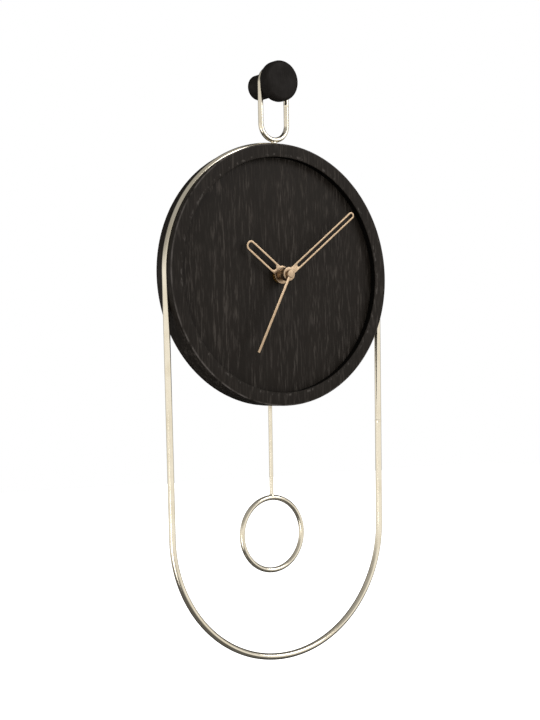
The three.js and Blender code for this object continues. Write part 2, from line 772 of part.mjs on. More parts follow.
function buildHands() {
  const hourFront = dialFront - hourHandHeight;
  const hourCollarFront = hourFront - hourCollarLength;
  const hourBack = hourFront + handThickness;
  const hourBore = rod(hourTubeOuter + seat, hourCollarFront - through, hourBack + through);
  const hourPlate = slab(
    slottedHand(hourTipRadius, hourHalfWidth, hourBarWidth, hourSlotStart, hourHubRadius),
    hourFront,
    hourBack,
  );
  const hourCollar = rod(hourCollarRadius, hourCollarFront, hourFront + overlap);
  const hourHand = cut(join(hourPlate, hourCollar), hourBore);
  addPiece(hung, "hour_hand", hourHand.rotateY(radians(hourAngle)), copperHand);

  const minuteFront = dialFront - minuteHandHeight;
  const minuteBack = minuteFront + minuteCollarLength;
  const minuteBore = rod(minuteTubeOuter + seat, minuteFront - through, minuteBack + through);
  const minutePlate = slab(
    slottedHand(minuteTipRadius, minuteHalfWidth, minuteBarWidth, minuteSlotStart, minuteHubRadius),
    minuteFront,
    minuteFront + handThickness,
  );
  const minuteCollar = rod(minuteHubRadius, minuteFront + overlap, minuteBack);
  const minuteHand = cut(join(minutePlate, minuteCollar), minuteBore);
  addPiece(hung, "minute_hand", minuteHand.rotateY(radians(minuteAngle)), copperHand);

  const secondFront = dialFront - secondHandHeight;
  const capFront = secondFront - secondCapProud;
  const barOutline = boxShape(-secondHalfWidth, 0, secondHalfWidth, secondLength);
  const bar = slab(barOutline, secondFront, secondFront + handThickness);
  const capBack = capFront + secondCapLength;
  const cap = rod(secondCapRadius, capFront, capBack);
  const secondBore = rod(secondArborRadius + seat, capFront + secondCapSkin, capBack + through);
  const secondHand = cut(join(bar, cap), secondBore);
  addPiece(hung, "second_hand", secondHand.rotateY(radians(secondAngle)), copperHand);
}

// Gear train

function buildTrain() {
  const secondWheel = wheelOutline(secondTeeth, intermediateModule, centreAxis, intermediateAxis);
  const secondPinion = pinionOutline(secondPinionTeeth, thirdModule, centreAxis, thirdAxis);
  const secondPinionEnd = thirdWheelRear - wheelThickness - pinionMargin;
  const secondTip = dialFront - secondHandHeight - secondCapProud + secondCapSkin + seat;
  const second = join(
    wheelSlab(secondWheel, secondWheelRear),
    slab(secondPinion, secondPinionEnd, secondWheelRear - overlap),
    rod(secondArborRadius, secondTip, arborRear, centreAxis, pinArc),
  );
  addPiece(hung, "second_wheel", second, whitePlastic);

  const third = compoundWheel(
    thirdAxis,
    wheelOutline(thirdTeeth, thirdModule, thirdAxis, centreAxis),
    thirdWheelRear,
    pinionOutline(thirdPinionTeeth, minuteModule, thirdAxis, centreAxis),
    minuteWheelRear - wheelThickness - pinionMargin,
  );
  addPiece(hung, "third_wheel", third, whitePlastic);

  const intermediate = compoundWheel(
    intermediateAxis,
    wheelOutline(intermediateTeeth, rotorModule, intermediateAxis, rotorAxis),
    intermediateWheelRear,
    pinionOutline(intermediatePinionTeeth, intermediateModule, intermediateAxis, centreAxis),
    secondWheelRear + pinionMargin,
  );
  addPiece(hung, "intermediate_wheel", intermediate, whitePlastic);

  const minuteOutline = wheelOutline(minuteTeeth, minuteModule, centreAxis, thirdAxis, minuteTubeBore);
  const cannonOutline = pinionOutline(cannonTeeth, motionModule, centreAxis, motionAxis, minuteTubeBore);
  const cannonEnd = motionWheelRear - wheelThickness - pinionMargin;
  const minuteTubeEnd = dialFront - minuteHandHeight;
  const minute = join(
    wheelSlab(minuteOutline, minuteWheelRear),
    slab(cannonOutline, cannonEnd, minuteWheelRear - overlap, tubeArc),
    tube(minuteTubeOuter, minuteTubeBore, minuteTubeEnd, minuteWheelRear - overlap, centreAxis, tubeArc),
  );
  addPiece(hung, "minute_wheel", minute, whitePlastic);

  const motion = compoundWheel(
    motionAxis,
    wheelOutline(motionTeeth, motionModule, motionAxis, centreAxis),
    motionWheelRear,
    pinionOutline(motionPinionTeeth, hourModule, motionAxis, centreAxis),
    hourWheelRear - wheelThickness - pinionMargin,
    motionArborRadius,
    coverRear + settingKnobThickness / 2 + seat,
  );
  addPiece(hung, "motion_wheel", motion, whitePlastic);

  const hourOutline = wheelOutline(hourTeeth, hourModule, centreAxis, motionAxis, hourTubeBore);
  const hourTubeEnd = dialFront - hourHandHeight - hourCollarLength;
  const hour = join(
    wheelSlab(hourOutline, hourWheelRear),
    tube(hourTubeOuter, hourTubeBore, hourTubeEnd, hourWheelRear - overlap, centreAxis, shankArc),
  );
  addPiece(hung, "hour_wheel", hour, whitePlastic);

  const knobFront = coverRear + seat;
  const knobBack = knobFront + settingKnobThickness;
  const knobOutline = new THREE.Shape(Array.from({ length: settingKnobSides }, (_, i) =>
    polar(settingKnobRadius, (360 * i) / settingKnobSides).add(motionAxis)));
  const knob = slab(knobOutline, knobFront, knobBack);
  const boreEnd = knobFront + settingKnobThickness / 2 + seat;
  const knobBore = rod(motionArborRadius + seat, knobFront - through, boreEnd, motionAxis, pinArc);
  addPiece(hung, "setting_knob", cut(knob, knobBore), whitePlastic);
}

// Stepping motor, circuit board and quartz crystal

function buildMotor() {
  const magnetRear = statorRear + (rotorMagnetThickness - statorThickness) / 2;
  const pinionFront = magnetRear + seat;
  const pinionRear = intermediateWheelRear + pinionMargin;
  const pinion = pinionOutline(rotorPinionTeeth, rotorModule, rotorAxis, intermediateAxis);
  const rotor = join(
    slab(pinion, pinionFront, pinionRear),
    rod(rotorSleeveRadius, magnetRear - rotorMagnetThickness, pinionFront + overlap, rotorAxis, pinArc),
    rod(arborRadius, arborFront, arborRear, rotorAxis, pinArc),
  );
  addPiece(hung, "motor_rotor", rotor, whitePlastic);
  const magnetBore = rotorSleeveRadius + seat;
  const magnetFront = magnetRear - rotorMagnetThickness;
  const magnet = tube(rotorMagnetRadius, magnetBore, magnetFront, magnetRear, rotorAxis, magnetArc);
  addPiece(hung, "rotor_magnet", magnet, darkMagnet);

  const right = pocketHalfWidth - 2 * seat;
  const statorFront = statorRear - statorThickness;
  const outline = new THREE.Shape([
    new THREE.Vector2(statorLeft, statorBottom),
    new THREE.Vector2(right, statorBottom),
    new THREE.Vector2(right, statorTop),
    new THREE.Vector2(coreX + coreHalfWidth, statorTop),
    new THREE.Vector2(coreX + coreHalfWidth, coreTop),
    new THREE.Vector2(coreX - coreHalfWidth, coreTop),
    new THREE.Vector2(coreX - coreHalfWidth, statorTop),
    new THREE.Vector2(statorLeft, statorTop),
  ]);
  outline.holes.push(circleShape(rotorMagnetRadius + 2 * seat, rotorAxis));
  addPiece(hung, "motor_stator", slab(outline, statorFront, statorRear, magnetArc), steel);

  const coilMiddle = statorRear - statorThickness / 2;
  const coilBody = new THREE.CylinderGeometry(coilRadius, coilRadius, coilTop - coilBottom, coilSides);
  coilBody.rotateX(Math.PI / 2).translate(coreX, coilMiddle, (coilTop + coilBottom) / 2);
  const holeLeft = coreX - coreHalfWidth - seat;
  const holeRight = coreX + coreHalfWidth + seat;
  const holeOutline = boxShape(holeLeft, coilBottom - through, holeRight, coilTop + through);
  const coreHole = slab(holeOutline, statorFront - seat, statorRear + seat);
  addPiece(hung, "motor_coil", cut(coilBody, coreHole), copperWindings);

  const board = boxShape(statorLeft, boardBottom, right, boardTop);
  board.holes.push(circleShape(arborRadius + 2 * seat, rotorAxis));
  const boardPlate = slab(board, boardRear - boardThickness, boardRear, shankArc);
  addPiece(hung, "circuit_board", boardPlate, greenBoard);

  const can = new THREE.CylinderGeometry(crystalRadius, crystalRadius, crystalLength, crystalSides);
  const crystalX = coreX - crystalBesideCore;
  can.rotateZ(Math.PI / 2).translate(crystalX, boardRear + seat + crystalRadius, crystalZ);
  addPiece(hung, "quartz_crystal", can, steel);
}

// Battery and its two contacts

function buildBattery() {
  const bayMiddle = (batteryBayTop + batteryBayBottom) / 2;
  const cellY = housingFloor + seat + cellRadius;
  const cellRight = pocketHalfWidth - contactThickness - 2 * seat - cellButtonLength;
  const cellLeft = cellRight - cellLength;
  const body = new THREE.CylinderGeometry(cellRadius, cellRadius, cellLength, cellSides);
  body.rotateZ(-Math.PI / 2).translate((cellLeft + cellRight) / 2, cellY, bayMiddle);
  const buttonLength = cellButtonLength + overlap;
  const button = new THREE.CylinderGeometry(cellButtonRadius, cellButtonRadius, buttonLength, buttonSides);
  button.rotateZ(-Math.PI / 2).translate(cellRight + (cellButtonLength - overlap) / 2, cellY, bayMiddle);
  addPiece(hung, "battery_cell", join(body, button), cellJacket);

  const contactFront = cellY - contactHalf;
  const contactBack = cellY + contactHalf;
  const plusLeft = pocketHalfWidth - seat - contactThickness;
  const low = bayMiddle - contactHalf;
  const high = bayMiddle + contactHalf;
  const plusOutline = boxShape(plusLeft, low, plusLeft + contactThickness, high);
  const plus = slab(plusOutline, contactFront, contactBack);
  addPiece(hung, "battery_contact_plus", plus, steel);

  const wallX = -pocketHalfWidth + seat;
  const reach = Math.min(springRoom, cellLeft - wallX - seat);
  const leaf = new THREE.Shape([
    new THREE.Vector2(wallX, low),
    new THREE.Vector2(wallX + contactThickness, low),
    new THREE.Vector2(wallX + contactThickness, high - contactThickness),
    new THREE.Vector2(wallX + reach, bayMiddle),
    new THREE.Vector2(wallX + reach, bayMiddle + 2 * contactThickness),
    new THREE.Vector2(wallX + contactThickness, high),
    new THREE.Vector2(wallX, high),
  ]);
  addPiece(hung, "battery_contact_minus", slab(leaf, contactFront, contactBack), steel);
}

// Pendulum: the arm on its pivot pin, the driving magnet and coil, the rod and the ring

function buildPendulum() {
  const armFront = pendulumPlane - armThickness / 2;
  const armBack = pendulumPlane + armThickness / 2;
  const hook = new THREE.Vector2(0, -hookBelowCentre);
  const tongueFront = armBack + seat;
  const hookEnd = tongueFront + tongueThickness + seat + hookProud;
  const armOutline = boxShape(-armHalfWidth, -hookBelowCentre, armHalfWidth, -pivotBelowCentre);
  const eyeFront = armFront - armEyeProud;
  const arm = cut(
    join(
      rod(armEyeRadius, eyeFront, armBack, pivotPlace),
      slab(armOutline, armFront, armBack),
      rod(armHalfWidth, armFront, armBack, hook),
      rod(hookPegRadius, armBack - overlap, hookEnd, hook, pinArc),
    ),
    rod(pivotPinRadius + seat, eyeFront - through, armBack + through, pivotPlace, pinArc),
  );
  addPiece(hung, "pendulum_arm", arm, whitePlastic);
  const pivotPin = rod(pivotPinRadius, arborFront, arborRear, pivotPlace, pinArc);
  addPiece(hung, "pendulum_pivot_pin", pivotPin, steel);

  const magnetPlace = new THREE.Vector2(0, -magnetBelowCentre);
  const magnetBack = armFront - seat;
  const magnetFront = magnetBack - magnetThickness;
  addPiece(hung, "pendulum_magnet", rod(magnetRadius, magnetFront, magnetBack, magnetPlace), darkMagnet);
  const coilBack = magnetFront - airGap;
  const coil = tube(driveCoilRadius, driveCoilCoreRadius, housingFloor + seat, coilBack, magnetPlace);
  addPiece(hung, "pendulum_coil", coil, copperWindings);

  const rodTop = -hookBelowCentre - armHalfWidth - seat;
  const rodBottom = -ringBelowCentre + ringRadius + ringWireRadius + seat;
  const bar = new THREE.CylinderGeometry(rodRadius, rodRadius, rodTop - rodBottom, rodSides);
  bar.rotateX(Math.PI / 2).translate(0, pendulumPlane, (rodTop + rodBottom) / 2);
  const tongueBottom = rodTop - 2 * tongueHalfWidth;
  const tongueOutline = boxShape(-tongueHalfWidth, tongueBottom, tongueHalfWidth, -hookBelowCentre);
  const neckOutline = boxShape(-rodRadius, tongueBottom, rodRadius, rodTop);
  const tongueEye = circleShape(tongueHalfWidth, hook);
  const tongueBack = tongueFront + tongueThickness;
  const rodPiece = cut(
    join(
      bar,
      slab(tongueOutline, tongueFront, tongueBack),
      slab(tongueEye, tongueFront, tongueBack),
      slab(neckOutline, pendulumPlane, tongueFront + overlap),
    ),
    rod(hookPegRadius + seat, tongueFront - through, tongueBack + through, hook, pinArc),
  );
  addPiece(hung, "pendulum_rod", rodPiece, champagneWire);

  const ring = new THREE.TorusGeometry(ringRadius, ringWireRadius, wireSides, ringSteps);
  ring.rotateX(Math.PI / 2).translate(0, pendulumPlane, -ringBelowCentre);
  addPiece(hung, "pendulum_ring", ring, champagneWire);
}

buildKnob();
buildCase();
buildWires();
buildHousing();
buildBushing();
buildHands();
buildTrain();
buildMotor();
buildBattery();
buildPendulum();

export default clock;
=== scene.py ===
# Pendulum wall clock: a round case of black stained ash in a long champagne wire loop, with slotted copper
# hands, hung by a wire link on a turned wall knob. The wall is the plane y = 0 and the clock faces -Y.
import math

import bmesh
import bpy
import numpy as np
from mathutils import Matrix, Vector
from mathutils.geometry import delaunay_2d_cdt


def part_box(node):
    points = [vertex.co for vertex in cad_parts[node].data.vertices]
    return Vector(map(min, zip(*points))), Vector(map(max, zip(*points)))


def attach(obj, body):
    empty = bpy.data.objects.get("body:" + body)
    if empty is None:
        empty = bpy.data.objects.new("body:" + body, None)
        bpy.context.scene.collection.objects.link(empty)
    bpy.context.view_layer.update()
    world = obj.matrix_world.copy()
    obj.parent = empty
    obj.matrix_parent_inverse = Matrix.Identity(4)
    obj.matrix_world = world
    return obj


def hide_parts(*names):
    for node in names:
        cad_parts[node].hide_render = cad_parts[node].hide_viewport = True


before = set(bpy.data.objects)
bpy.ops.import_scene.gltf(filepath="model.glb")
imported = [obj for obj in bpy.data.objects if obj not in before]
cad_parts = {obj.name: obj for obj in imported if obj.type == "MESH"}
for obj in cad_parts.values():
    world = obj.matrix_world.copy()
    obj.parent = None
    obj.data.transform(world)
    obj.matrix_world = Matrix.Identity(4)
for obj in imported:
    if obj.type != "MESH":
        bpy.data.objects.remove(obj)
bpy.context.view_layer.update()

# ---- Sizes, in millimetres, where the frame's boxes don't give them ----

MM = 0.001

KNOB_CROWN = 0.7  # how much the middle of the knob's face stands above its edge
KNOB_EDGE = 3.0
PEG_EDGE = 0.6
TENON_RADIUS = 5.0
TENON_PLAY = 0.3
INSERT_PLAY = 0.3
INSERT_BORE = 2.3
THREAD_PITCH = 0.8
THREAD_DEPTH = 0.35

RIM_WIDTH = 10.2
REBATE_WIDTH = 1.4
FRONT_EDGE = 0.8
RIM_INNER_EDGE = 0.35
REAR_EDGE = 4.5
GROOVE_PLAY = 0.3
GROOVE_RUN_OUT = (68, 92)  # degrees from the bottom, where it leaves the side
LEDGE_PLAY = 0.3
NOTCH_HALF_WIDTH = 12.64
NOTCH_DEPTH = 6.0  # from the back of the case forward
COUNTERBORE_RADIUS = 2.9
COUNTERBORE_END = 93.6  # from the clock's axis
CUTTER_OVERRUN = 2.0
DIAL_BORE = 4.3

LOOP_SPAN = 194.1
LOOP_WELD_DROP = 113.0
LINK_BEND = 12.0
LINK_SPAN = 31.5
LINK_WELD_DROP = 15.75
WELD_LENGTH = 0.9
WELD_SWELL = 0.05  # share of the wire's radius
BEAD_RADIUS = 2.6  # the solder bead between link and loop
BEAD_LOW = -1.2
BEAD_HIGH = 0.9
BEAD_EDGE = 1.0
BEAD_DEPTH = 0.62  # share of its width

FIXINGS = {"top": (0, 0, 1), "left": (-1, 0, 0), "right": (1, 0, 0)}  # directions from the axis
FIXING_HEAD_START = 91.5  # from the clock's axis, like the end
FIXING_END = 99.0
FIXING_HEAD_LENGTH = 1.8
FIXING_HEAD_RADIUS = 2.6
FIXING_SOCKET_RADIUS = 1.2
FIXING_SOCKET_DEPTH = 0.7
FIXING_SHANK_RADIUS = 1.3

HOUR = dict(angle=-53.4, tip=35.2, half=4.15, bar=1.6, slot=10.0, hub=6.9, bore=2.8)
MINUTE = dict(angle=52.1, tip=76.9, half=2.75, bar=1.4, slot=11.5, hub=5.2, bore=1.9)
SECOND = dict(angle=207.1, length=67.0, half=1.05)
HAND_THICKNESS = 0.6
HAND_EDGE = 0.14
HOUR_COLLAR = 3.7
HOUR_COLLAR_OVERLAP = 0.1
MINUTE_COLLAR_BACK = -32.8
MINUTE_COLLAR_SINK = 0.12
SECOND_BAR_SINK = 0.5
SECOND_CAP = 3.0
SECOND_CAP_WALL = 1.0
SECOND_BORE = 1.0

ROD_RADIUS = 1.5
ROD_FLARE = 0.7
ROD_FLARE_HEIGHT = 1.2
ROD_SINK = 1.2  # into the ring's wire
EYE_RADIUS = 2.6
EYE_BORE = 1.5
EYE_THICKNESS = 1.0
EYE_TO_ROD = 2.7
TONGUE_SHOULDER = 3.2  # below the rod's top, like the tongue's end and the neck's foot
TONGUE_END = 5.2
TONGUE_END_HALF = 1.5
NECK_FOOT = 5.6
NECK_RADIUS = 1.4
NECK_LENGTH = 6.0

SETTING_DISH = 0.5
SETTING_DISH_RADIUS = 3.2
SETTING_DISH_FLOOR = 2.6
SETTING_BORE = 1.3
SETTING_BORE_DEPTH = 1.4
KNURLS = 30
KNURL_DEPTH = 0.25
CELL_CAP_RADIUS = 2.7
CELL_CAP_HEIGHT = 1.0
COVER_HEAD_RADIUS = 2.0
COVER_HEAD_HEIGHT = 1.2
COVER_HEAD_DOME = 0.35
COVER_SHANK_RADIUS = 1.0
CROSS_HALF_WIDTH = 0.3
CROSS_REACH = 1.25
CROSS_DEPTH = 0.6

# ---- Places from the frame ----


def corners(node):
    """The lowest and highest corner of a node, in millimetres."""
    low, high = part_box(node)
    return np.array(low) / MM, np.array(high) / MM


def measured(node, across=0):
    """A node's two corners, its middle, and half its width along x, or along y where across is 1."""
    low, high = corners(node)
    return low, high, (low + high) / 2, (high[across] - low[across]) / 2


CASE_LOW, CASE_HIGH, CASE_MIDDLE, CASE_RADIUS = measured("case_ring")
CENTRE_Z = CASE_MIDDLE[2]
LOOP_LOW, LOOP_HIGH, LOOP_MIDDLE, LOOP_WIRE = measured("loop_frame", 1)
LOOP_Y = LOOP_MIDDLE[1]
LOOP_TOP = (LOOP_HIGH[0] - LOOP_LOW[0]) / 2 - LOOP_WIRE  # middle line of the wire in the top bend
LOOP_BOTTOM = CENTRE_Z - LOOP_SPAN - LOOP_LOW[2] - LOOP_WIRE

# ---- Surfaces: points in millimetres, quads, triangles and a UV for each face corner ----


def grid(points, close_rows=False, start_pole=None, end_pole=None, length=1.0, width=1.0):
    """A surface P(i, j) on a grid of rows i and columns j. The columns close round, and the rows where
    asked. A pole is one point joined to the whole first or last row. UV runs 0..length along the rows and
    0..width round the columns."""
    rows, cols = points.shape[:2]
    i, j = np.meshgrid(np.arange(rows if close_rows else rows - 1), np.arange(cols), indexing="ij")
    i, j = i.ravel(), j.ravel()
    turns = (0, 0), (0, 1), (1, 1), (1, 0)
    quads = np.stack([((i + a) % rows) * cols + (j + b) % cols for a, b in turns], -1)
    uv = np.stack([np.stack([(i + a) * length / rows, (j + b) * width / cols], -1) for a, b in turns], 1)
    verts = [points.reshape(-1, 3)]
    tris, tri_uv = [], []
    k = np.arange(cols)
    for pole, row in ((start_pole, 0), (end_pole, rows - 1)):
        if pole is None:
            continue
        ring = row * cols + k
        after = row * cols + (k + 1) % cols
        tip = np.full(cols, sum(len(v) for v in verts))
        order = [tip, after, ring] if row == 0 else [tip, ring, after]
        tris.append(np.stack(order, -1))
        u = np.full(cols, row * length / rows)
        tri_uv.append(np.stack([np.stack([u, k * width / cols], -1)] * 3, 1))
        verts.append(np.asarray(pole, float)[None])
    tris = np.concatenate(tris) if tris else np.zeros((0, 3), int)
    tri_uv = np.concatenate(tri_uv) if tri_uv else np.zeros((0, 3, 2))
    return outward(np.concatenate(verts), quads, uv, tris, tri_uv)


def outward(verts, quads, uv, tris, tri_uv):
    """The same closed shell with its faces turned out: its signed volume is the sum of a.(b x c) / 6."""
    both = np.concatenate([quads[:, [0, 1, 2]], quads[:, [0, 2, 3]], tris])
    a, b, c = (verts[both[:, k]] for k in range(3))
    if np.einsum("ij,ij->", a, np.cross(b, c)) < 0:
        quads, uv, tris, tri_uv = quads[:, ::-1], uv[:, ::-1], tris[:, ::-1], tri_uv[:, ::-1]
    return verts, quads, uv, tris, tri_uv


def merge(*shells):
    """Several shells as the parts of one mesh."""
    offsets = np.cumsum([0] + [len(shell[0]) for shell in shells[:-1]])
    moved = [(v, quads + o, uv, tris + o, tri_uv) for (v, quads, uv, tris, tri_uv), o in zip(shells, offsets)]
    return tuple(np.concatenate(parts) for parts in zip(*moved))


def rounded(corner_list, steps=5, closed=False):
    """A polyline of (a, b, radius) whose corners are arcs: about the point on the bisector at radius /
    sin(half the corner's angle), from one tangent point to the other."""
    pts = np.array([c[:2] for c in corner_list], float)
    out = []
    n = len(pts)
    for k, corner in enumerate(corner_list):
        radius = corner[2] if len(corner) > 2 else 0
        if radius == 0 or (not closed and k in (0, n - 1)):
            out.append(pts[k][None])
            continue
        u = pts[k - 1] - pts[k]
        v = pts[(k + 1) % n] - pts[k]
        u, v = u / np.linalg.norm(u), v / np.linalg.norm(v)
        half = math.acos(np.clip(u @ v, -1, 1)) / 2
        axis = (u + v) / np.linalg.norm(u + v)
        centre = pts[k] + axis * radius / math.sin(half)
        start = pts[k] + u * radius / math.tan(half) - centre
        end = pts[k] + v * radius / math.tan(half) - centre
        a0 = math.atan2(start[1], start[0])
        turn = (math.atan2(end[1], end[0]) - a0 + math.pi) % (2 * math.pi) - math.pi
        a = a0 + turn * np.linspace(0, 1, steps + 1)
        out.append(centre + radius * np.stack([np.cos(a), np.sin(a)], -1))
    return np.concatenate(out)


def lathe(profile, sides, origin=(0, 0, 0), axis=(0, 1, 0), closed=False, shape=None):
    """A profile of (radius r, distance s) turned about an axis: origin + s axis + r (cos t e1 + sin t e2).
    shape(r, s, t) may change the radius. Ends with r = 0 become poles, and a closed profile is a ring."""
    axis = np.array(axis, float) / np.linalg.norm(axis)
    e1 = np.cross(axis, [0, 0, 1] if abs(axis[2]) < 0.9 else [1, 0, 0])
    e1 /= np.linalg.norm(e1)
    e2 = np.cross(axis, e1)
    origin = np.array(origin, float)
    r, s = np.asarray(profile, float).T
    start = end = None
    if not closed and r[0] < 1e-9:
        start, r, s = origin + s[0] * axis, r[1:], s[1:]
    if not closed and r[-1] < 1e-9:
        end, r, s = origin + s[-1] * axis, r[:-1], s[:-1]
    t = np.linspace(0, 2 * np.pi, sides, endpoint=False)
    radius = np.repeat(r[:, None], sides, 1)
    if shape is not None:
        radius = shape(radius, s[:, None], t[None])
    spokes = np.cos(t)[:, None] * e1 + np.sin(t)[:, None] * e2
    points = origin + s[:, None, None] * axis + radius[..., None] * spokes
    length = float(np.hypot(np.diff(r), np.diff(s)).sum())
    return grid(points, closed, start, end, length, 2 * np.pi * float(r.max()))


def belt(along, top, bottom, span, top_z):
    """Points (x, z) of a wire bent round a top circle at top_z and a bottom circle span below it, at
    distances along it from the foot of the right leg: the legs lean by asin((top - bottom) / span)."""
    lean = math.asin((top - bottom) / span)
    leg = span * math.cos(lean)
    lengths = [leg, top * (math.pi + 2 * lean), leg, bottom * (math.pi - 2 * lean)]
    a, b, c, _ = np.cumsum(lengths)
    s = along % sum(lengths)
    foot = np.array([bottom * math.cos(lean), -span - bottom * math.sin(lean)])
    head = np.array([top * math.cos(lean), -top * math.sin(lean)])
    up = np.array([math.sin(lean), math.cos(lean)])
    angle = -lean + (s - a) / top
    low = math.pi + lean + (s - c) / bottom
    x = np.select(
        [s <= a, s <= b, s <= c],
        [foot[0] + s * up[0], top * np.cos(angle), -head[0] + (s - b) * up[0]],
        bottom * np.cos(low),
    )
    z = np.select(
        [s <= a, s <= b, s <= c],
        [foot[1] + s * up[1], top * np.sin(angle), head[1] - (s - b) * up[1]],
        -span + bottom * np.sin(low),
    )
    return x, top_z + z, sum(lengths)


def wire_loop(radius, top, bottom, span, top_z, y, weld_drop, steps, sides):
    """A round wire carried along a belt: P = C(s) + r(s) (cos t n + sin t y), with n across the belt in its
    own plane. r swells by a bell curve at the weld in the right leg, weld_drop below the top circle."""
    total = belt(np.zeros(1), top, bottom, span, top_z)[2]
    weld = span * math.cos(math.asin((top - bottom) / span)) - weld_drop
    s = np.linspace(0, total, steps, endpoint=False)
    s = np.unique(np.concatenate([s, weld + np.linspace(-3, 3, 41) * WELD_LENGTH]))
    step = 0.01
    x, z, _ = belt(s, top, bottom, span, top_z)
    x1, z1, _ = belt(s + step, top, bottom, span, top_z)
    x0, z0, _ = belt(s - step, top, bottom, span, top_z)
    across = np.stack([z1 - z0, x0 - x1], -1)
    across /= np.linalg.norm(across, axis=1, keepdims=True)
    bell = np.exp(-(((s - weld) / WELD_LENGTH) ** 2))
    r = radius * (1 + WELD_SWELL * bell)
    t = np.linspace(0, 2 * np.pi, sides, endpoint=False)
    points = np.empty((len(s), sides, 3))
    points[..., 0] = x[:, None] + r[:, None] * np.cos(t) * across[:, :1]
    points[..., 1] = y + r[:, None] * np.sin(t)
    points[..., 2] = z[:, None] + r[:, None] * np.cos(t) * across[:, 1:]
    return grid(points, True, length=total, width=2 * np.pi * radius)


def arc(centre, radius, start, end, steps):
    """Points (a, b) of an arc, angles in degrees from the first axis."""
    a = np.radians(np.linspace(start, end, steps))
    return np.array(centre) + radius * np.stack([np.cos(a), np.sin(a)], -1)


def inset(outline, amount):
    """A closed outline moved to its left by amount, along each corner's bisector over its cosine."""
    ahead = np.roll(outline, -1, 0) - outline
    ahead /= np.linalg.norm(ahead, axis=1, keepdims=True)
    behind = np.roll(ahead, 1, 0)
    normal = np.stack([-(ahead + behind)[:, 1], (ahead + behind)[:, 0]], -1)
    normal /= np.linalg.norm(normal, axis=1, keepdims=True)
    left = np.stack([-ahead[:, 1], ahead[:, 0]], -1)
    cosine = np.clip(np.einsum("ij,ij->i", normal, left), 0.5, 1)
    return outline + amount * normal / cosine[:, None]


def inside(points, outlines):
    """Which points lie in the plate: a ray to the right from each crosses an odd number of edges."""
    a = np.concatenate(outlines)
    b = np.concatenate([np.roll(o, -1, 0) for o in outlines])
    x, y = points[:, :1], points[:, 1:]
    spans = (a[:, 1] > y) != (b[:, 1] > y)
    rise = np.where(b[:, 1] == a[:, 1], 1, b[:, 1] - a[:, 1])
    at = a[:, 0] + (y - a[:, 1]) * (b[:, 0] - a[:, 0]) / rise
    return (spans & (x < at)).sum(1) % 2 == 1


def plate(outlines, front, back, edge, place=None):
    """A flat plate with holes, from its outer outline (anticlockwise) and its holes (clockwise). A quarter
    round of radius edge is carried along every outline on both faces, and the faces are triangulated.
    place turns the flat (a, b) and depth y into points; without it they are (a, y, b)."""
    a = np.linspace(0, np.pi / 2, 4)
    inward, drop = edge * (1 - np.sin(a)), edge * (1 - np.cos(a))
    rim_in = np.concatenate([inward, inward[::-1]])
    rim_y = np.concatenate([front + drop, (back - drop)[::-1]])
    place = place or (lambda flat, y: np.stack([flat[..., 0], y, flat[..., 1]], -1))
    verts, quads, uvs, faces_2d, faces_index = [], [], [], [], []
    count = 0
    for outline in outlines:
        n = len(outline)
        flat = np.stack([inset(outline, d) for d in rim_in])
        y = np.repeat(rim_y[:, None], n, 1)
        i, j = np.meshgrid(np.arange(len(rim_in) - 1), np.arange(n), indexing="ij")
        i, j = i.ravel(), j.ravel()
        j2 = (j + 1) % n
        quads.append(count + np.stack([i * n + j, i * n + j2, (i + 1) * n + j2, (i + 1) * n + j], -1))
        uvs.append(np.stack([flat[i, j], flat[i, j2], flat[i + 1, j2], flat[i + 1, j]], 1))
        verts.append(place(flat, y).reshape(-1, 3))
        faces_2d.append(flat[0])
        faces_index.append(count + np.arange(n))
        count += len(rim_in) * n
    flat = np.concatenate(faces_2d)
    sizes = [len(o) for o in outlines]
    firsts = np.cumsum([0] + sizes[:-1]).tolist()
    edges = [(first + k, first + (k + 1) % n) for first, n in zip(firsts, sizes) for k in range(n)]
    cdt = delaunay_2d_cdt([Vector(p) for p in flat], edges, [], 0, 1e-7)
    origin = np.array([o[0] for o in cdt[3]])
    tris_2d = origin[np.array(cdt[2])]
    tris_2d = tris_2d[inside(flat[tris_2d].mean(1), faces_2d)]
    front_index = np.concatenate(faces_index)
    back_index = front_index + np.repeat([(len(rim_in) - 1) * n for n in sizes], sizes)
    tris = np.concatenate([front_index[tris_2d][:, ::-1], back_index[tris_2d]])
    tri_uvs = np.concatenate([flat[tris_2d][:, ::-1], flat[tris_2d]])
    return outward(np.concatenate(verts), np.concatenate(quads), np.concatenate(uvs), tris, tri_uvs)


def circle(radius, centre=(0, 0), sides=48, hole=False):
    points = arc(centre, radius, 0, 360, sides + 1)[:-1]
    return points[::-1] if hole else points


# ---- Pieces ----

SHARP = math.radians(32)


def add_piece(name, shell, finish, body, node):
    """A shell in millimetres as a smooth-shaded mesh in metres, riding on a body for a CAD node."""
    verts, quads, uv, tris, tri_uv = shell
    mesh = bpy.data.meshes.new(name)
    mesh.from_pydata((verts * MM).tolist(), [], quads.tolist() + tris.tolist())
    layer = mesh.uv_layers.new(name="UVMap")
    flat_uv = np.concatenate([uv.reshape(-1), tri_uv.reshape(-1)])
    layer.data.foreach_set("uv", flat_uv.astype(np.float32) * MM)
    mesh.shade_smooth()
    mesh.set_sharp_from_angle(angle=SHARP)
    mesh.validate()
    piece = bpy.data.objects.new(name, mesh)
    bpy.context.scene.collection.objects.link(piece)
    piece.data.materials.append(finish)
    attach(piece, body)
    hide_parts(node)
    return piece


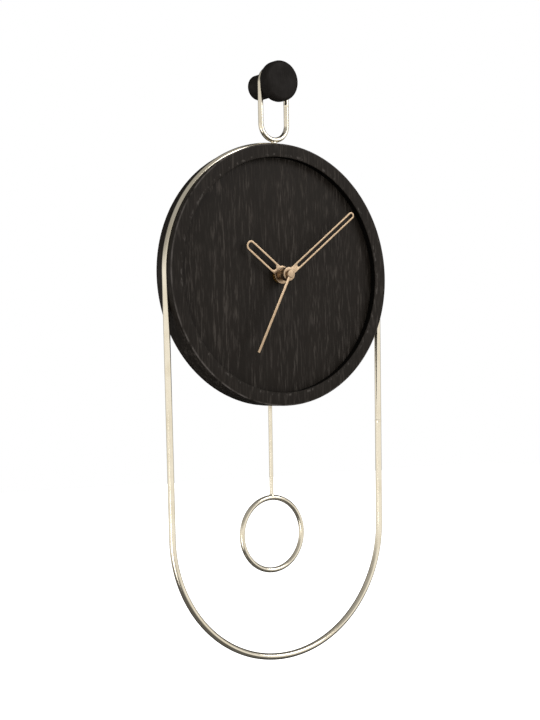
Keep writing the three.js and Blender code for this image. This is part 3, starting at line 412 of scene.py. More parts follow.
def drilled(piece, cutters):
    """Takes each cutter shell out of the piece, and keeps the result as its plain mesh."""
    made = []
    for k, shell in enumerate(cutters):
        mesh = bpy.data.meshes.new(f"cutter_{k}")
        mesh.from_pydata((shell[0] * MM).tolist(), [], shell[1].tolist() + shell[3].tolist())
        cutter = bpy.data.objects.new(f"cutter_{k}", mesh)
        bpy.context.scene.collection.objects.link(cutter)
        modifier = piece.modifiers.new(f"hole_{k}", "BOOLEAN")
        modifier.object = cutter
        modifier.solver = "EXACT"
        made.append(cutter)
    bpy.context.view_layer.update()
    whole = bpy.data.meshes.new_from_object(piece.evaluated_get(bpy.context.evaluated_depsgraph_get()))
    whole.name = piece.name
    piece.modifiers.clear()
    piece.data = whole
    whole.shade_smooth()
    whole.set_sharp_from_angle(angle=SHARP)
    for cutter in made:
        bpy.data.objects.remove(cutter)


# ---- Finishes ----


class Nodes:
    """A node tree and short ways to add nodes to it."""

    def __init__(self, tree):
        self.tree = tree

    def add(self, kind, inputs=None, **props):
        item = self.tree.nodes.new(kind)
        for key, value in props.items():
            setattr(item, key, value)
        for key, value in (inputs or {}).items():
            if isinstance(value, bpy.types.NodeSocket):
                self.tree.links.new(value, item.inputs[key])
            else:
                item.inputs[key].default_value = value
        return item

    def sum(self, operation, a, b=0.5, c=0.5):
        return self.add("ShaderNodeMath", {0: a, 1: b, 2: c}, operation=operation).outputs[0]

    def ramp(self, value, low, high, out_low=0.0, out_high=1.0):
        inputs = {"Value": value, "From Min": low, "From Max": high, "To Min": out_low, "To Max": out_high}
        return self.add("ShaderNodeMapRange", inputs, interpolation_type="SMOOTHSTEP").outputs[0]


class Finish(Nodes):
    """A Principled material, with short ways to its textures."""

    def __init__(self, name, **sockets):
        self.material = bpy.data.materials.new(name)
        self.material.use_nodes = True
        super().__init__(self.material.node_tree)
        self.shader = self.tree.nodes["Principled BSDF"]
        for key, value in sockets.items():
            self.shader.inputs[key.replace("_", " ")].default_value = value
        coordinates = self.add("ShaderNodeTexCoord")
        self.place = coordinates.outputs["Object"]
        self.uv = coordinates.outputs["UV"]

    def stretched(self, vector, scale, turn=(0, 0, 0), shift=(0, 0, 0)):
        inputs = {"Vector": vector, "Scale": scale, "Rotation": turn, "Location": shift}
        return self.add("ShaderNodeMapping", inputs).outputs[0]

    def noise(self, vector, scale=1.0, detail=2.0, rough=0.5):
        inputs = {"Vector": vector, "Scale": scale, "Detail": detail, "Roughness": rough}
        return self.add("ShaderNodeTexNoise", inputs).outputs["Fac"]

    def mix(self, factor, a, b):
        a, b = (v if isinstance(v, bpy.types.NodeSocket) else (*v, 1) for v in (a, b))
        return self.add("ShaderNodeMix", {0: factor, 6: a, 7: b}, data_type="RGBA").outputs[2]

    def done(self, colour, rough, height, distance, strength):
        """The material, with its colour, roughness and bump fed in."""
        inputs = {"Height": height, "Distance": distance, "Strength": strength}
        normal = self.add("ShaderNodeBump", inputs).outputs[0]
        for key, value in (("Base Color", colour), ("Roughness", rough), ("Normal", normal)):
            self.tree.links.new(value, self.shader.inputs[key])
        return self.material


def from_axis(f):
    """Distance from the clock's axis, and y, in metres."""
    x, y, z = f.add("ShaderNodeSeparateXYZ", {"Vector": f.place}).outputs
    z = f.sum("SUBTRACT", z, CENTRE_Z * MM)
    square = f.sum("ADD", f.sum("MULTIPLY", x, x), f.sum("MULTIPLY", z, z))
    return f.sum("SQRT", square), y


def black_ash(name, fleck, worn=False, shift=0.0):
    """Ash stained black. Growth bands run up the wood. Open pores lie in them as short pale dashes.
    With worn set, the rim's inner edge is chipped, its outer front edge gets a patchy painted highlight, and
    painted shade darkens its inner wall below the front lip."""
    f = Finish(name, Roughness=0.55, Specular_IOR_Level=0.10)
    wander = f.noise(f.stretched(f.place, (9, 9, 6), shift=(shift, 0, 0)), 1.0, 1)
    warp = f.sum("MULTIPLY", f.sum("SUBTRACT", wander, 0.5), 0.003)
    offset = f.add("ShaderNodeCombineXYZ", {"X": warp, "Y": warp})
    bent = f.add("ShaderNodeVectorMath", {0: f.place, 1: offset.outputs[0]}, operation="ADD").outputs[0]
    bands = f.noise(f.stretched(bent, (170, 170, 4), shift=(shift, 2, 1)), 1.0, 2, 0.55)
    early = f.ramp(bands, 0.40, 0.60)
    pores = f.noise(f.stretched(bent, (800, 800, 80), shift=(shift, 0, 3)), 1.0, 3, 0.55)
    dashes = f.ramp(pores, 0.47, 0.68)
    fibre = f.noise(f.stretched(bent, (2600, 2600, 45)), 1.0, 2, 0.6)
    cloud = f.noise(f.stretched(f.place, (22, 22, 9)), 1.0, 3)
    marks = f.sum("MULTIPLY", dashes, f.sum("MULTIPLY_ADD", early, 0.75, 0.25))
    ground = f.mix(bands, (0.0090, 0.0068, 0.0052), (0.0140, 0.0110, 0.0086))
    ground = f.mix(f.ramp(fibre, 0.35, 0.7, 0, 0.4), ground, (0.0205, 0.0166, 0.0136))
    ground = f.mix(f.ramp(cloud, 0.35, 0.75, 0, 0.35), ground, (0.0066, 0.0050, 0.0038))
    colour = f.mix(f.sum("MULTIPLY", marks, fleck), ground, (0.046, 0.0395, 0.0345))
    # worn adds real chips, and also painted light: a highlight on the outer edge and shade on the inner wall.
    if worn:
        distance, depth = from_axis(f)
        inner, outer, lip = (CASE_RADIUS - RIM_WIDTH) * MM, CASE_RADIUS * MM, CASE_LOW[1] * MM
        # Painted shade: the rim's inner wall below the front lip is mixed to near black, as if in the
        # recess's shadow.
        wall = f.sum("MULTIPLY", f.ramp(distance, inner + 0.0002, inner + 0.0006, 1, 0),
                     f.ramp(depth, lip + 0.0002, lip + 0.0008))
        colour = f.mix(wall, colour, (0.0030, 0.0025, 0.0020))
        # Painted highlight: the rim's outer front edge is lightened in patches, as light caught by its
        # rounding.
        edge = f.sum("MULTIPLY", f.ramp(distance, outer - 0.0013, outer - 0.0001),
                     f.ramp(depth, lip + 0.0003, lip + 0.0012, 1, 0))
        painted_edge_highlight = f.ramp(f.noise(f.stretched(f.place, (160, 160, 60)), 1.0, 3), 0.30, 0.6)
        painted_edge_highlight = f.sum("MULTIPLY", f.sum("MULTIPLY", edge, painted_edge_highlight), 0.75)
        colour = f.mix(painted_edge_highlight, colour, (0.110, 0.098, 0.092))
        band = f.sum("MULTIPLY", f.ramp(distance, inner + 0.0004, inner + 0.0016),
                     f.ramp(distance, inner + 0.0016, inner + 0.0032, 1, 0))
        chips = f.ramp(f.noise(f.stretched(f.place, (420, 420, 170)), 1.0, 2), 0.56, 0.66)
        chips = f.sum("MULTIPLY", f.sum("MULTIPLY", band, chips), 0.8)
        colour = f.mix(chips, colour, (0.062, 0.055, 0.050))
    rough = f.sum("MULTIPLY_ADD", marks, 0.22, f.ramp(fibre, 0.3, 0.7, 0.50, 0.62))
    height = f.sum("SUBTRACT", f.sum("MULTIPLY", fibre, 0.35), marks)
    return f.done(colour, rough, height, 0.00012, 0.7)


def painted_wood(name):
    """Fine-grained wood under a matt black stain, for the turned knob."""
    f = Finish(name, Roughness=0.62, Specular_IOR_Level=0.10)
    grain = f.noise(f.stretched(f.place, (1500, 90, 130)), 1.0, 3, 0.6)
    cloud = f.noise(f.place, 90.0, 3)
    colour = f.mix(f.ramp(grain, 0.35, 0.7), (0.0085, 0.0070, 0.0060), (0.0135, 0.0114, 0.0100))
    colour = f.mix(f.ramp(cloud, 0.45, 0.75, 0, 0.4), colour, (0.0060, 0.0050, 0.0044))
    return f.done(colour, f.ramp(cloud, 0.3, 0.7, 0.55, 0.7), grain, 0.00006, 0.5)


def drawn_wire(name, rough=0.16):
    """Polished, plated steel wire with faint die lines along it and a few duller patches."""
    f = Finish(name, Metallic=1.0, Roughness=rough)
    tint = (0.74, 0.66, 0.50)
    lines = f.noise(f.stretched(f.uv, (12, 1500, 1)), 1.0, 2, 0.5)
    patches = f.noise(f.place, 60.0, 3, 0.6)
    shade = f.mix(f.ramp(patches, 0.42, 0.72, 0, 0.5), (0.86, 0.80, 0.67), tint)
    shade = f.mix(f.ramp(lines, 0.5, 0.8, 0, 0.2), shade, tint)
    dull = f.sum("ADD", f.ramp(patches, 0.4, 0.7, rough - 0.03, rough + 0.06),
                 f.ramp(lines, 0.4, 0.8, 0, 0.04))
    return f.done(shade, dull, lines, 0.000002, 0.2)


def brushed_copper(name, angle, rough=0.36):
    """Lacquered copper-coloured sheet, brushed along a hand turned clockwise by an angle in degrees."""
    f = Finish(name, Metallic=1.0, Roughness=rough)
    turn = (0, -math.radians(angle), 0)
    brush = f.noise(f.stretched(f.place, (3800, 3800, 120), turn=turn), 1.0, 3, 0.65)
    cloud = f.noise(f.place, 220.0, 2)
    shade = f.mix(f.ramp(brush, 0.3, 0.7), (0.42, 0.30, 0.19), (0.50, 0.38, 0.265))
    shade = f.mix(f.ramp(cloud, 0.5, 0.8, 0, 0.25), shade, (0.34, 0.22, 0.13))
    return f.done(shade, f.ramp(brush, 0.25, 0.75, rough - 0.05, rough + 0.08), brush, 0.000004, 0.3)


def machined_metal(name, colour, worn, rough, ring_scale=2200.0):
    """Turned or rolled metal: fine lines by height and depth, with slightly duller, darker patches."""
    f = Finish(name, Metallic=1.0, Roughness=rough)
    lines = f.noise(f.stretched(f.place, (150, ring_scale, 150)), 1.0, 2, 0.6)
    patches = f.noise(f.place, 300.0, 3, 0.6)
    shade = f.mix(f.ramp(patches, 0.45, 0.75, 0, 0.8), colour, worn)
    return f.done(shade, f.ramp(patches, 0.3, 0.75, rough - 0.06, rough + 0.18), lines, 0.00001, 0.5)


def moulded_plastic(name, colour, scuff, rough=0.45):
    """Injection-moulded plastic: spark-eroded grain, slow colour drift and pale scuffs."""
    f = Finish(name, Roughness=rough, Specular_IOR_Level=0.45)
    texture = f.noise(f.place, 900.0, 3, 0.6)
    drift = f.noise(f.place, 35.0, 2)
    rubs = f.noise(f.stretched(f.place, (60, 60, 700), turn=(0, 0.5, 0)), 1.0, 3, 0.7)
    shade = f.mix(f.ramp(drift, 0.3, 0.7, 0, 0.5), colour, tuple(0.7 * c for c in colour))
    shade = f.mix(f.ramp(rubs, 0.66, 0.8, 0, 0.5), shade, scuff)
    return f.done(shade, f.ramp(texture, 0.3, 0.7, rough - 0.06, rough + 0.1), texture, 0.00004, 0.4)


def enamelled_windings(name):
    """Turns of enamelled copper wire, side by side up the coil."""
    f = Finish(name, Metallic=1.0, Roughness=0.32)
    turns = f.add("ShaderNodeTexWave", {"Vector": f.place, "Scale": 700.0, "Distortion": 0.6, "Detail": 1.0},
                  bands_direction="Z").outputs["Fac"]
    patches = f.noise(f.place, 400.0, 2)
    shade = f.mix(turns, (0.20, 0.055, 0.02), (0.52, 0.19, 0.075))
    return f.done(shade, f.ramp(patches, 0.3, 0.7, 0.25, 0.42), turns, 0.00005, 0.8)


def solder_masked_board(name):
    """Green circuit board with paler copper tracks under the mask."""
    f = Finish(name, Roughness=0.42, Specular_IOR_Level=0.5)
    tracks = f.add("ShaderNodeTexVoronoi", {"Vector": f.place, "Scale": 420.0},
                   feature="DISTANCE_TO_EDGE").outputs["Distance"]
    weave = f.noise(f.place, 2500.0, 2)
    shade = f.mix(f.ramp(tracks, 0.02, 0.07), (0.05, 0.20, 0.075), (0.012, 0.075, 0.028))
    return f.done(shade, f.ramp(weave, 0.3, 0.7, 0.36, 0.5), weave, 0.00002, 0.4)


def cell_wrap(name, low_x, high_x):
    """A plain two-tone shrink wrap: dark body with a copper-coloured band at the plus end, and bare ends."""
    f = Finish(name, Metallic=0.6, Roughness=0.3)
    x = f.add("ShaderNodeSeparateXYZ", {"Vector": f.place}).outputs[0]
    length = high_x - low_x
    band = f.ramp(x, (high_x - 0.27 * length) * MM, (high_x - 0.265 * length) * MM)
    ends = f.sum("MAXIMUM", f.ramp(x, (low_x + 0.5) * MM, (low_x + 0.7) * MM, 1, 0),
                 f.ramp(x, (high_x - 1.5) * MM, (high_x - 1.3) * MM))
    wrinkle = f.noise(f.stretched(f.place, (120, 600, 600)), 1.0, 3)
    shade = f.mix(band, (0.022, 0.026, 0.032), (0.48, 0.20, 0.07))
    shade = f.mix(ends, shade, (0.55, 0.55, 0.54))
    return f.done(shade, f.ramp(wrinkle, 0.3, 0.7, 0.24, 0.38), wrinkle, 0.00003, 0.4)


# worn=True gives the case real chips plus a painted edge highlight and painted shade on the recess wall.
case_wood = black_ash("black_ash_case", fleck=0.75, worn=True)
dial_wood = black_ash("black_ash_dial", fleck=0.9, shift=0.4)
knob_wood = painted_wood("black_stained_knob")
wire_finish = drawn_wire("champagne_wire_loop")
rod_finish = drawn_wire("champagne_wire_pendulum", rough=0.2)
hour_finish = brushed_copper("brushed_copper_hour", HOUR["angle"])
minute_finish = brushed_copper("brushed_copper_minute", MINUTE["angle"])
second_finish = brushed_copper("brushed_copper_second", SECOND["angle"])
steel_finish = machined_metal("zinc_plated_steel", (0.52, 0.53, 0.54), (0.36, 0.36, 0.37), 0.32)
brass_finish = machined_metal("turned_brass", (0.62, 0.44, 0.18), (0.42, 0.28, 0.11), 0.3)
magnet_finish = machined_metal("sintered_magnet", (0.10, 0.10, 0.11), (0.06, 0.06, 0.065), 0.45, 900.0)
housing_plastic = moulded_plastic("black_moulded_plastic", (0.013, 0.0135, 0.0145), (0.05, 0.05, 0.052))
white_plastic = moulded_plastic("white_moulded_plastic", (0.72, 0.70, 0.64), (0.60, 0.58, 0.53), 0.4)
windings = enamelled_windings("enamelled_copper_windings")
board_finish = solder_masked_board("green_circuit_board")

# ---- Wall knob ----


def build_knob():
    """Peg and disc are profiles turned about the knob's axis. The disc's face is a shallow crown,
    y = front + crown (r / R)^2. The insert's bore widens by a triangle wave of (y / pitch - t / 2 pi)."""
    low, high, at, radius = measured("knob_disc")
    back = high[1]
    flat = radius - KNOB_EDGE
    r = np.linspace(0, flat, 10)
    crown = np.stack([r, low[1] + KNOB_CROWN * (r / flat) ** 2], -1)
    edge = low[1] + KNOB_CROWN + KNOB_EDGE
    angle = np.radians(np.linspace(-82, 0, 10))
    front_round = np.stack([flat + KNOB_EDGE * np.cos(angle), edge + KNOB_EDGE * np.sin(angle)], -1)
    socket = TENON_RADIUS + TENON_PLAY
    socket_end = corners("knob_peg")[0][1] - TENON_PLAY
    rear = rounded([(radius, edge), (radius, back, KNOB_EDGE * 0.9), (socket, back, 0.2),
                    (socket, socket_end), (0, socket_end)], 8)
    disc = lathe(np.concatenate([crown, front_round, rear[1:]]), 96, (at[0], 0, at[2]))
    add_piece("turned_knob_disc", disc, knob_wood, "wall_knob", "knob_disc")

    shoulder = back + INSERT_PLAY
    insert_low, insert_high, _, insert_radius = measured("knob_insert")
    low, high, _, radius = measured("knob_peg")
    bore = insert_radius + INSERT_PLAY
    depth = insert_low[1] - INSERT_PLAY
    profile = rounded([(0, depth), (bore, depth), (bore, high[1], 0.2), (radius, high[1], PEG_EDGE),
                       (radius, shoulder, 0.3), (TENON_RADIUS, shoulder), (TENON_RADIUS, low[1], 0.3),
                       (0, low[1])], 6)
    add_piece("turned_knob_peg", lathe(profile, 96), knob_wood, "wall_knob", "knob_peg")

    y = np.linspace(insert_high[1] - 0.3, insert_low[1] + 0.3, 150)
    inner = np.stack([np.full_like(y, INSERT_BORE), y], -1)
    outer = rounded([(INSERT_BORE, insert_low[1]), (insert_radius, insert_low[1], 0.3),
                     (insert_radius, insert_high[1], 0.3), (INSERT_BORE + 0.4, insert_high[1])], 4)

    def thread(r, s, t):
        flank = np.abs(2 * ((s / THREAD_PITCH - t / (2 * np.pi)) % 1) - 1)
        return np.where(r < INSERT_BORE + 0.01, r + THREAD_DEPTH * flank, r)

    insert = lathe(np.concatenate([inner, outer]), 48, closed=True, shape=thread)
    add_piece("threaded_insert", insert, brass_finish, "wall_knob", "knob_insert")


# ---- Case and dial ----


def build_case():
    """The rim's closed profile turned about the clock's axis. The wire's groove of radius g follows the top
    bend and runs straight out of the side below it: with w = sqrt(g^2 - (y - plane)^2) and t the angle from
    the bottom, r = min(R, (bend - w) / sin(min(t + lean, 90 degrees))). Within the notch's angle at the
    bottom y = min(y, notch). Three counterbores are drilled from inside."""
    radius, front, back = CASE_RADIUS, CASE_LOW[1], CASE_HIGH[1]
    inner = radius - RIM_WIDTH
    rebate = inner + REBATE_WIDTH
    groove = LOOP_WIRE + GROOVE_PLAY
    ledge = corners("dial_panel")[0][1] - LEDGE_PLAY
    outer = rounded([(inner, (front + ledge) / 2), (inner, front, RIM_INNER_EDGE),
                     (radius, front, FRONT_EDGE), (radius, LOOP_Y - groove)], 6)
    across = LOOP_Y - groove * np.cos(np.linspace(0, np.pi, 25))
    side = np.stack([np.full_like(across, radius), across], -1)
    inner_side = rounded([(radius, LOOP_Y + groove), (radius, back, REAR_EDGE), (rebate, back, 0.4),
                          (rebate, ledge), (inner, ledge, 0.2), (inner, (front + ledge) / 2)], 10)
    profile = np.concatenate([outer[:-1], side, inner_side[1:-1]])
    notch = math.asin(NOTCH_HALF_WIDTH / ((radius + rebate) / 2))
    lean = math.asin((LOOP_TOP - LOOP_BOTTOM) / LOOP_SPAN)
    run_out = np.radians(np.arange(*GROOVE_RUN_OUT, 0.2))
    t = np.unique(np.concatenate([np.linspace(-np.pi, np.pi, 361)[:-1], run_out, -run_out,
                                  [-notch - 1e-4, -notch, notch, notch + 1e-4]]))
    r, y = profile.T
    width = np.sqrt(np.clip(groove**2 - (y - LOOP_Y) ** 2, 0, None))[:, None]
    reach = (LOOP_TOP - width) / np.sin(np.clip(np.abs(t) + lean, 0.1, np.pi / 2))
    on_side = (np.abs(y - LOOP_Y) <= groove + 1e-6) & (r > radius - 1e-6)
    r = np.where(on_side[:, None], np.minimum(r[:, None], reach), r[:, None])
    notched = np.abs(t) <= notch + 1e-6
    y = np.where(notched[None], np.minimum(y[:, None], back - NOTCH_DEPTH), y[:, None])
    points = np.stack([r * np.sin(t), y, CENTRE_Z - r * np.cos(t)], -1)
    length = float(np.hypot(*np.diff(profile, axis=0).T).sum())
    ring = add_piece("case_rim", grid(points, True, length=length, width=2 * np.pi * radius), case_wood,
                     "clock_case", "case_ring")
    start = rebate - CUTTER_OVERRUN
    hole = [(0, start), (COUNTERBORE_RADIUS, start), (COUNTERBORE_RADIUS, COUNTERBORE_END),
            (0, COUNTERBORE_END)]
    drilled(ring, [lathe(hole, 32, (0, LOOP_Y, CENTRE_Z), direction) for direction in FIXINGS.values()])

    low, high, _, radius = measured("dial_panel")
    profile = rounded([(DIAL_BORE, (low[1] + high[1]) / 2), (DIAL_BORE, low[1], 0.15), (radius, low[1], 0.3),
                       (radius, high[1], 0.3), (DIAL_BORE, high[1], 0.15)], 4, closed=True)
    dial = lathe(profile, 240, (0, 0, CENTRE_Z), closed=True)
    add_piece("dial_board", dial, dial_wood, "clock_case", "dial_panel")


# ---- Wire loop, link and their screws ----


def build_wires():
    """The loop and the link are wire loops. The bead joining them is a turned profile pressed flat."""
    loop = wire_loop(LOOP_WIRE, LOOP_TOP, LOOP_BOTTOM, LOOP_SPAN, CENTRE_Z, LOOP_Y, LOOP_WELD_DROP, 720, 28)
    add_piece("wire_loop_frame", loop, wire_finish, "clock_case", "loop_frame")
    radius = measured("hanger_link", 1)[3]
    link = wire_loop(radius, LINK_BEND, LINK_BEND, LINK_SPAN, 0, LOOP_Y, LINK_WELD_DROP, 240, 28)
    profile = rounded([(0, BEAD_LOW), (BEAD_RADIUS, BEAD_LOW, BEAD_EDGE), (BEAD_RADIUS, BEAD_HIGH, BEAD_EDGE),
                       (0, BEAD_HIGH)], 8)
    bead = lathe(profile, 40, (0, LOOP_Y, -LINK_SPAN - LINK_BEND - radius), (0, 0, 1))
    bead[0][:, 1] = LOOP_Y + (bead[0][:, 1] - LOOP_Y) * BEAD_DEPTH
    add_piece("wire_hanger_link", merge(link, bead), wire_finish, "clock_case",
              "hanger_link")
    head, head_end = FIXING_HEAD_START, FIXING_HEAD_START + FIXING_HEAD_LENGTH
    socket_end = head + FIXING_SOCKET_DEPTH
    profile = rounded([(0, socket_end), (FIXING_SOCKET_RADIUS, socket_end), (FIXING_SOCKET_RADIUS, head, 0.1),
                       (FIXING_HEAD_RADIUS, head, 0.5), (FIXING_HEAD_RADIUS, head_end, 0.2),
                       (FIXING_SHANK_RADIUS, head_end), (FIXING_SHANK_RADIUS, FIXING_END, 0.2),
                       (0, FIXING_END)], 4)
    for place, direction in FIXINGS.items():
        screw = lathe(profile, 36, (0, LOOP_Y, CENTRE_Z), direction)
        add_piece(f"frame_fixing_{place}", screw, steel_finish, "clock_case", f"frame_screw_{place}")


# ---- Hands ----


def turned_plane(angle):
    """Places a hand's own (right, up) outline on the clock, turned clockwise by an angle in degrees."""
    c, s = math.cos(math.radians(angle)), math.sin(math.radians(angle))

    def place(flat, y):
        x = flat[..., 0] * c + flat[..., 1] * s
        z = CENTRE_Z - flat[..., 0] * s + flat[..., 1] * c
        return np.stack([x, y, z], -1)

    return place


def slotted_hand(spec, front):
    """Outline: the hub's arc, two straight sides and a round tip. The slot and the bore are its holes."""
    half, tip, hub = spec["half"], spec["tip"], spec["hub"]
    meet = math.degrees(math.acos(half / hub))
    outline = np.concatenate([arc((0, 0), hub, 180 - meet, 360 + meet, 61), arc((0, tip), half, 0, 180, 33)])
    inner = half - spec["bar"]
    slot = np.concatenate([arc((0, tip), inner, 0, 180, 29), arc((0, spec["slot"]), inner, 180, 360, 29)])
    holes = [slot[::-1], circle(spec["bore"], sides=40, hole=True)]
    return plate([outline, *holes], front, front + HAND_THICKNESS, HAND_EDGE, turned_plane(spec["angle"]))


def collar(radius, bore, front, back, edge=0.25):
    profile = rounded([(bore, (front + back) / 2), (bore, front, 0.12), (radius, front, edge),
                       (radius, back, 0.12), (bore, back, 0.12)], 5, closed=True)
    return lathe(profile, 72, (0, 0, CENTRE_Z), closed=True)


def build_hands():
    """Each hand is a flat plate turned to its angle, with its collar or cap turned about the axis."""
    low, high = corners("hour_hand")
    front = high[1] - HAND_THICKNESS
    hour = merge(slotted_hand(HOUR, front),
                 collar(HOUR_COLLAR, HOUR["bore"], low[1], front + HOUR_COLLAR_OVERLAP))
    add_piece("slotted_hour_hand", hour, hour_finish, "hours", "hour_hand")

    front = corners("minute_hand")[0][1]
    boss = collar(MINUTE["hub"], MINUTE["bore"], front + MINUTE_COLLAR_SINK, MINUTE_COLLAR_BACK, 0.3)
    minute = merge(slotted_hand(MINUTE, front), boss)
    add_piece("slotted_minute_hand", minute, minute_finish, "minutes", "minute_hand")

    low, high = corners("second_hand")
    half, length = SECOND["half"], SECOND["length"]
    outline = rounded([(-half, 0), (half, 0), (half, length, 0.25), (-half, length, 0.25)], 4, closed=True)
    front = low[1] + SECOND_BAR_SINK
    bar = plate([outline], front, front + HAND_THICKNESS, HAND_EDGE, turned_plane(SECOND["angle"]))
    bore_end = low[1] + SECOND_CAP_WALL
    profile = rounded([(0, low[1]), (SECOND_CAP, low[1], 0.55), (SECOND_CAP, high[1], 0.15),
                       (SECOND_BORE, high[1], 0.1), (SECOND_BORE, bore_end), (0, bore_end)], 7)
    cap = lathe(profile, 64, (0, 0, CENTRE_Z))
    add_piece("second_hand_bar", merge(bar, cap), second_finish, "seconds", "second_hand")


# ---- Pendulum ----


def build_pendulum():
    """The ring is a torus. The rod is a turned profile that flares into the ring as
    r = R + flare exp(-(z / flare height)^2), with a flat eye on top."""
    low, high, at, _ = measured("pendulum_ring")
    wire = (high[1] - low[1]) / 2
    radius = (high[0] - low[0]) / 2 - wire
    u = np.linspace(0, 2 * np.pi, 240, endpoint=False)[:, None]
    v = np.linspace(0, 2 * np.pi, 28, endpoint=False)[None]
    reach = radius + wire * np.cos(v)
    ring = np.stack([reach * np.cos(u), at[1] + wire * np.sin(v) + 0 * u, at[2] + reach * np.sin(u)], -1)
    ring = grid(ring, True, length=2 * np.pi * radius, width=2 * np.pi * wire)
    add_piece("pendulum_wire_ring", ring, rod_finish, "pendulum", "pendulum_ring")

    eye_back, eye_top = corners("pendulum_rod")[1][1:]
    hook = eye_top - EYE_RADIUS
    top, bottom = hook - EYE_TO_ROD, high[2] - ROD_SINK
    height = np.concatenate([np.linspace(0, 6, 30), np.linspace(6, top - bottom, 12)[1:]])
    flared = ROD_RADIUS + ROD_FLARE * np.exp(-((height / ROD_FLARE_HEIGHT) ** 2))
    profile = np.concatenate([[[0, 0]], np.stack([flared, height], -1), [[0, top - bottom]]])
    bar = lathe(profile, 32, (0, at[1], bottom), (0, 0, 1))
    front = eye_back - EYE_THICKNESS
    shoulder, end = top - TONGUE_SHOULDER, top - TONGUE_END
    sides = rounded([(-EYE_RADIUS, hook - 3), (-EYE_RADIUS, shoulder, 1.5), (-TONGUE_END_HALF, end),
                     (TONGUE_END_HALF, end), (EYE_RADIUS, shoulder, 1.5), (EYE_RADIUS, hook - 3)], 4)
    outline = np.concatenate([arc((0, hook), EYE_RADIUS, 0, 180, 25), sides])
    tongue = plate([outline, circle(EYE_BORE, (0, hook), 28, True)], front, eye_back, 0.15)
    profile = rounded([(0, 0), (NECK_RADIUS, 0, 0.3), (NECK_RADIUS, NECK_LENGTH, 0.3), (0, NECK_LENGTH)], 4)
    neck = lathe(profile, 28, (0, (at[1] + front) / 2 + 0.3, top - NECK_FOOT), (0, 0, 1))
    add_piece("pendulum_wire_rod", merge(bar, tongue, neck), rod_finish, "pendulum",
              "pendulum_rod")


# ---- Refined copies of nodes that show at the back and inside ----


def refined(node, name, finish, body, edge=0.25):
    """A copy of a node's mesh with its doubles merged, its flat faces whole and its edges rounded."""
    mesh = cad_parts[node].data.copy()
    mesh.name = name
    made = bmesh.new()
    made.from_mesh(mesh)
    bmesh.ops.remove_doubles(made, verts=made.verts, dist=1e-6)
    bmesh.ops.dissolve_limit(made, angle_limit=math.radians(1), verts=made.verts, edges=made.edges)
    made.to_mesh(mesh)
    made.free()
    mesh.materials.clear()
    mesh.materials.append(finish)
    piece = bpy.data.objects.new(name, mesh)
    bpy.context.scene.collection.objects.link(piece)
    bevel = piece.modifiers.new("rounded_edges", "BEVEL")
    bevel.width = edge * MM
    bevel.segments = 2
    bevel.limit_method = "ANGLE"
    bevel.angle_limit = math.radians(40)
    mesh.shade_smooth()
    mesh.set_sharp_from_angle(angle=SHARP)
    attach(piece, body)
    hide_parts(node)


def build_rear():
    refined("movement_housing", "movement_tray", housing_plastic, "clock_case")
    refined("movement_cover", "movement_back", housing_plastic, "clock_case", 0.2)
    refined("pendulum_arm", "pendulum_swing_arm", white_plastic, "pendulum", 0.2)

    low, high, at, radius = measured("setting_knob")

    def knurl(r, s, t):
        return r - KNURL_DEPTH * (0.5 + 0.5 * np.cos(KNURLS * t)) * (r > radius - 0.4)

    dish, bore_end = high[1] - SETTING_DISH, low[1] + SETTING_BORE_DEPTH
    profile = rounded([(0, dish), (SETTING_DISH_FLOOR, dish), (SETTING_DISH_RADIUS, high[1], 0.2),
                       (radius, high[1], 0.4), (radius, low[1], 0.3), (SETTING_BORE, low[1]),
                       (SETTING_BORE, bore_end), (0, bore_end)], 5)
    knob = lathe(profile, 240, (at[0], 0, at[2]), shape=knurl)
    add_piece("time_setting_knob", knob, white_plastic, "motion_work", "setting_knob")

    low, high, at, radius = measured("battery_cell", 1)
    start, end, cap = low[0], high[0] - CELL_CAP_HEIGHT, high[0]
    profile = rounded([(0, start), (radius - 1.6, start), (radius - 1.2, start + 0.5),
                       (radius - 0.5, start + 0.2, 0.1), (radius, start + 0.5, 0.3), (radius, end, 0.5),
                       (CELL_CAP_RADIUS + 0.2, end - 0.3, 0.2), (CELL_CAP_RADIUS, cap, 0.25), (0, cap)], 5)
    cell = lathe(profile, 72, (0, at[1], at[2]), (1, 0, 0))
    add_piece("aa_cell", cell, cell_wrap("plain_cell_wrap", start, cap), "battery",
              "battery_cell")

    r = np.linspace(0, COVER_HEAD_RADIUS, 15)[1:, None]
    t = np.linspace(0, 2 * np.pi, 48, endpoint=False)
    dome = COVER_HEAD_DOME * (r / COVER_HEAD_RADIUS) ** 4
    across = np.minimum(np.abs(r * np.cos(t)), np.abs(r * np.sin(t)))
    recess = CROSS_DEPTH * (across < CROSS_HALF_WIDTH) * (r < CROSS_REACH)
    for k in range(1, 5):
        low, high, at, _ = measured(f"cover_screw_{k}")
        head = high[1] - COVER_HEAD_HEIGHT
        under = rounded([(COVER_HEAD_RADIUS, head), (COVER_SHANK_RADIUS, head),
                         (COVER_SHANK_RADIUS, low[1], 0.3), (0, low[1])], 4)
        reach = np.concatenate([r, under[:-1, :1]])
        y = np.concatenate([high[1] - dome - recess, under[:-1, 1:] + 0 * t])
        points = np.stack([at[0] + reach * np.cos(t), y, at[2] + reach * np.sin(t)], -1)
        poles = [at[0], high[1] - CROSS_DEPTH, at[2]], [at[0], low[1], at[2]]
        add_piece(f"cover_fixing_{k}", grid(points, False, *poles), steel_finish, "clock_case",
                  f"cover_screw_{k}")


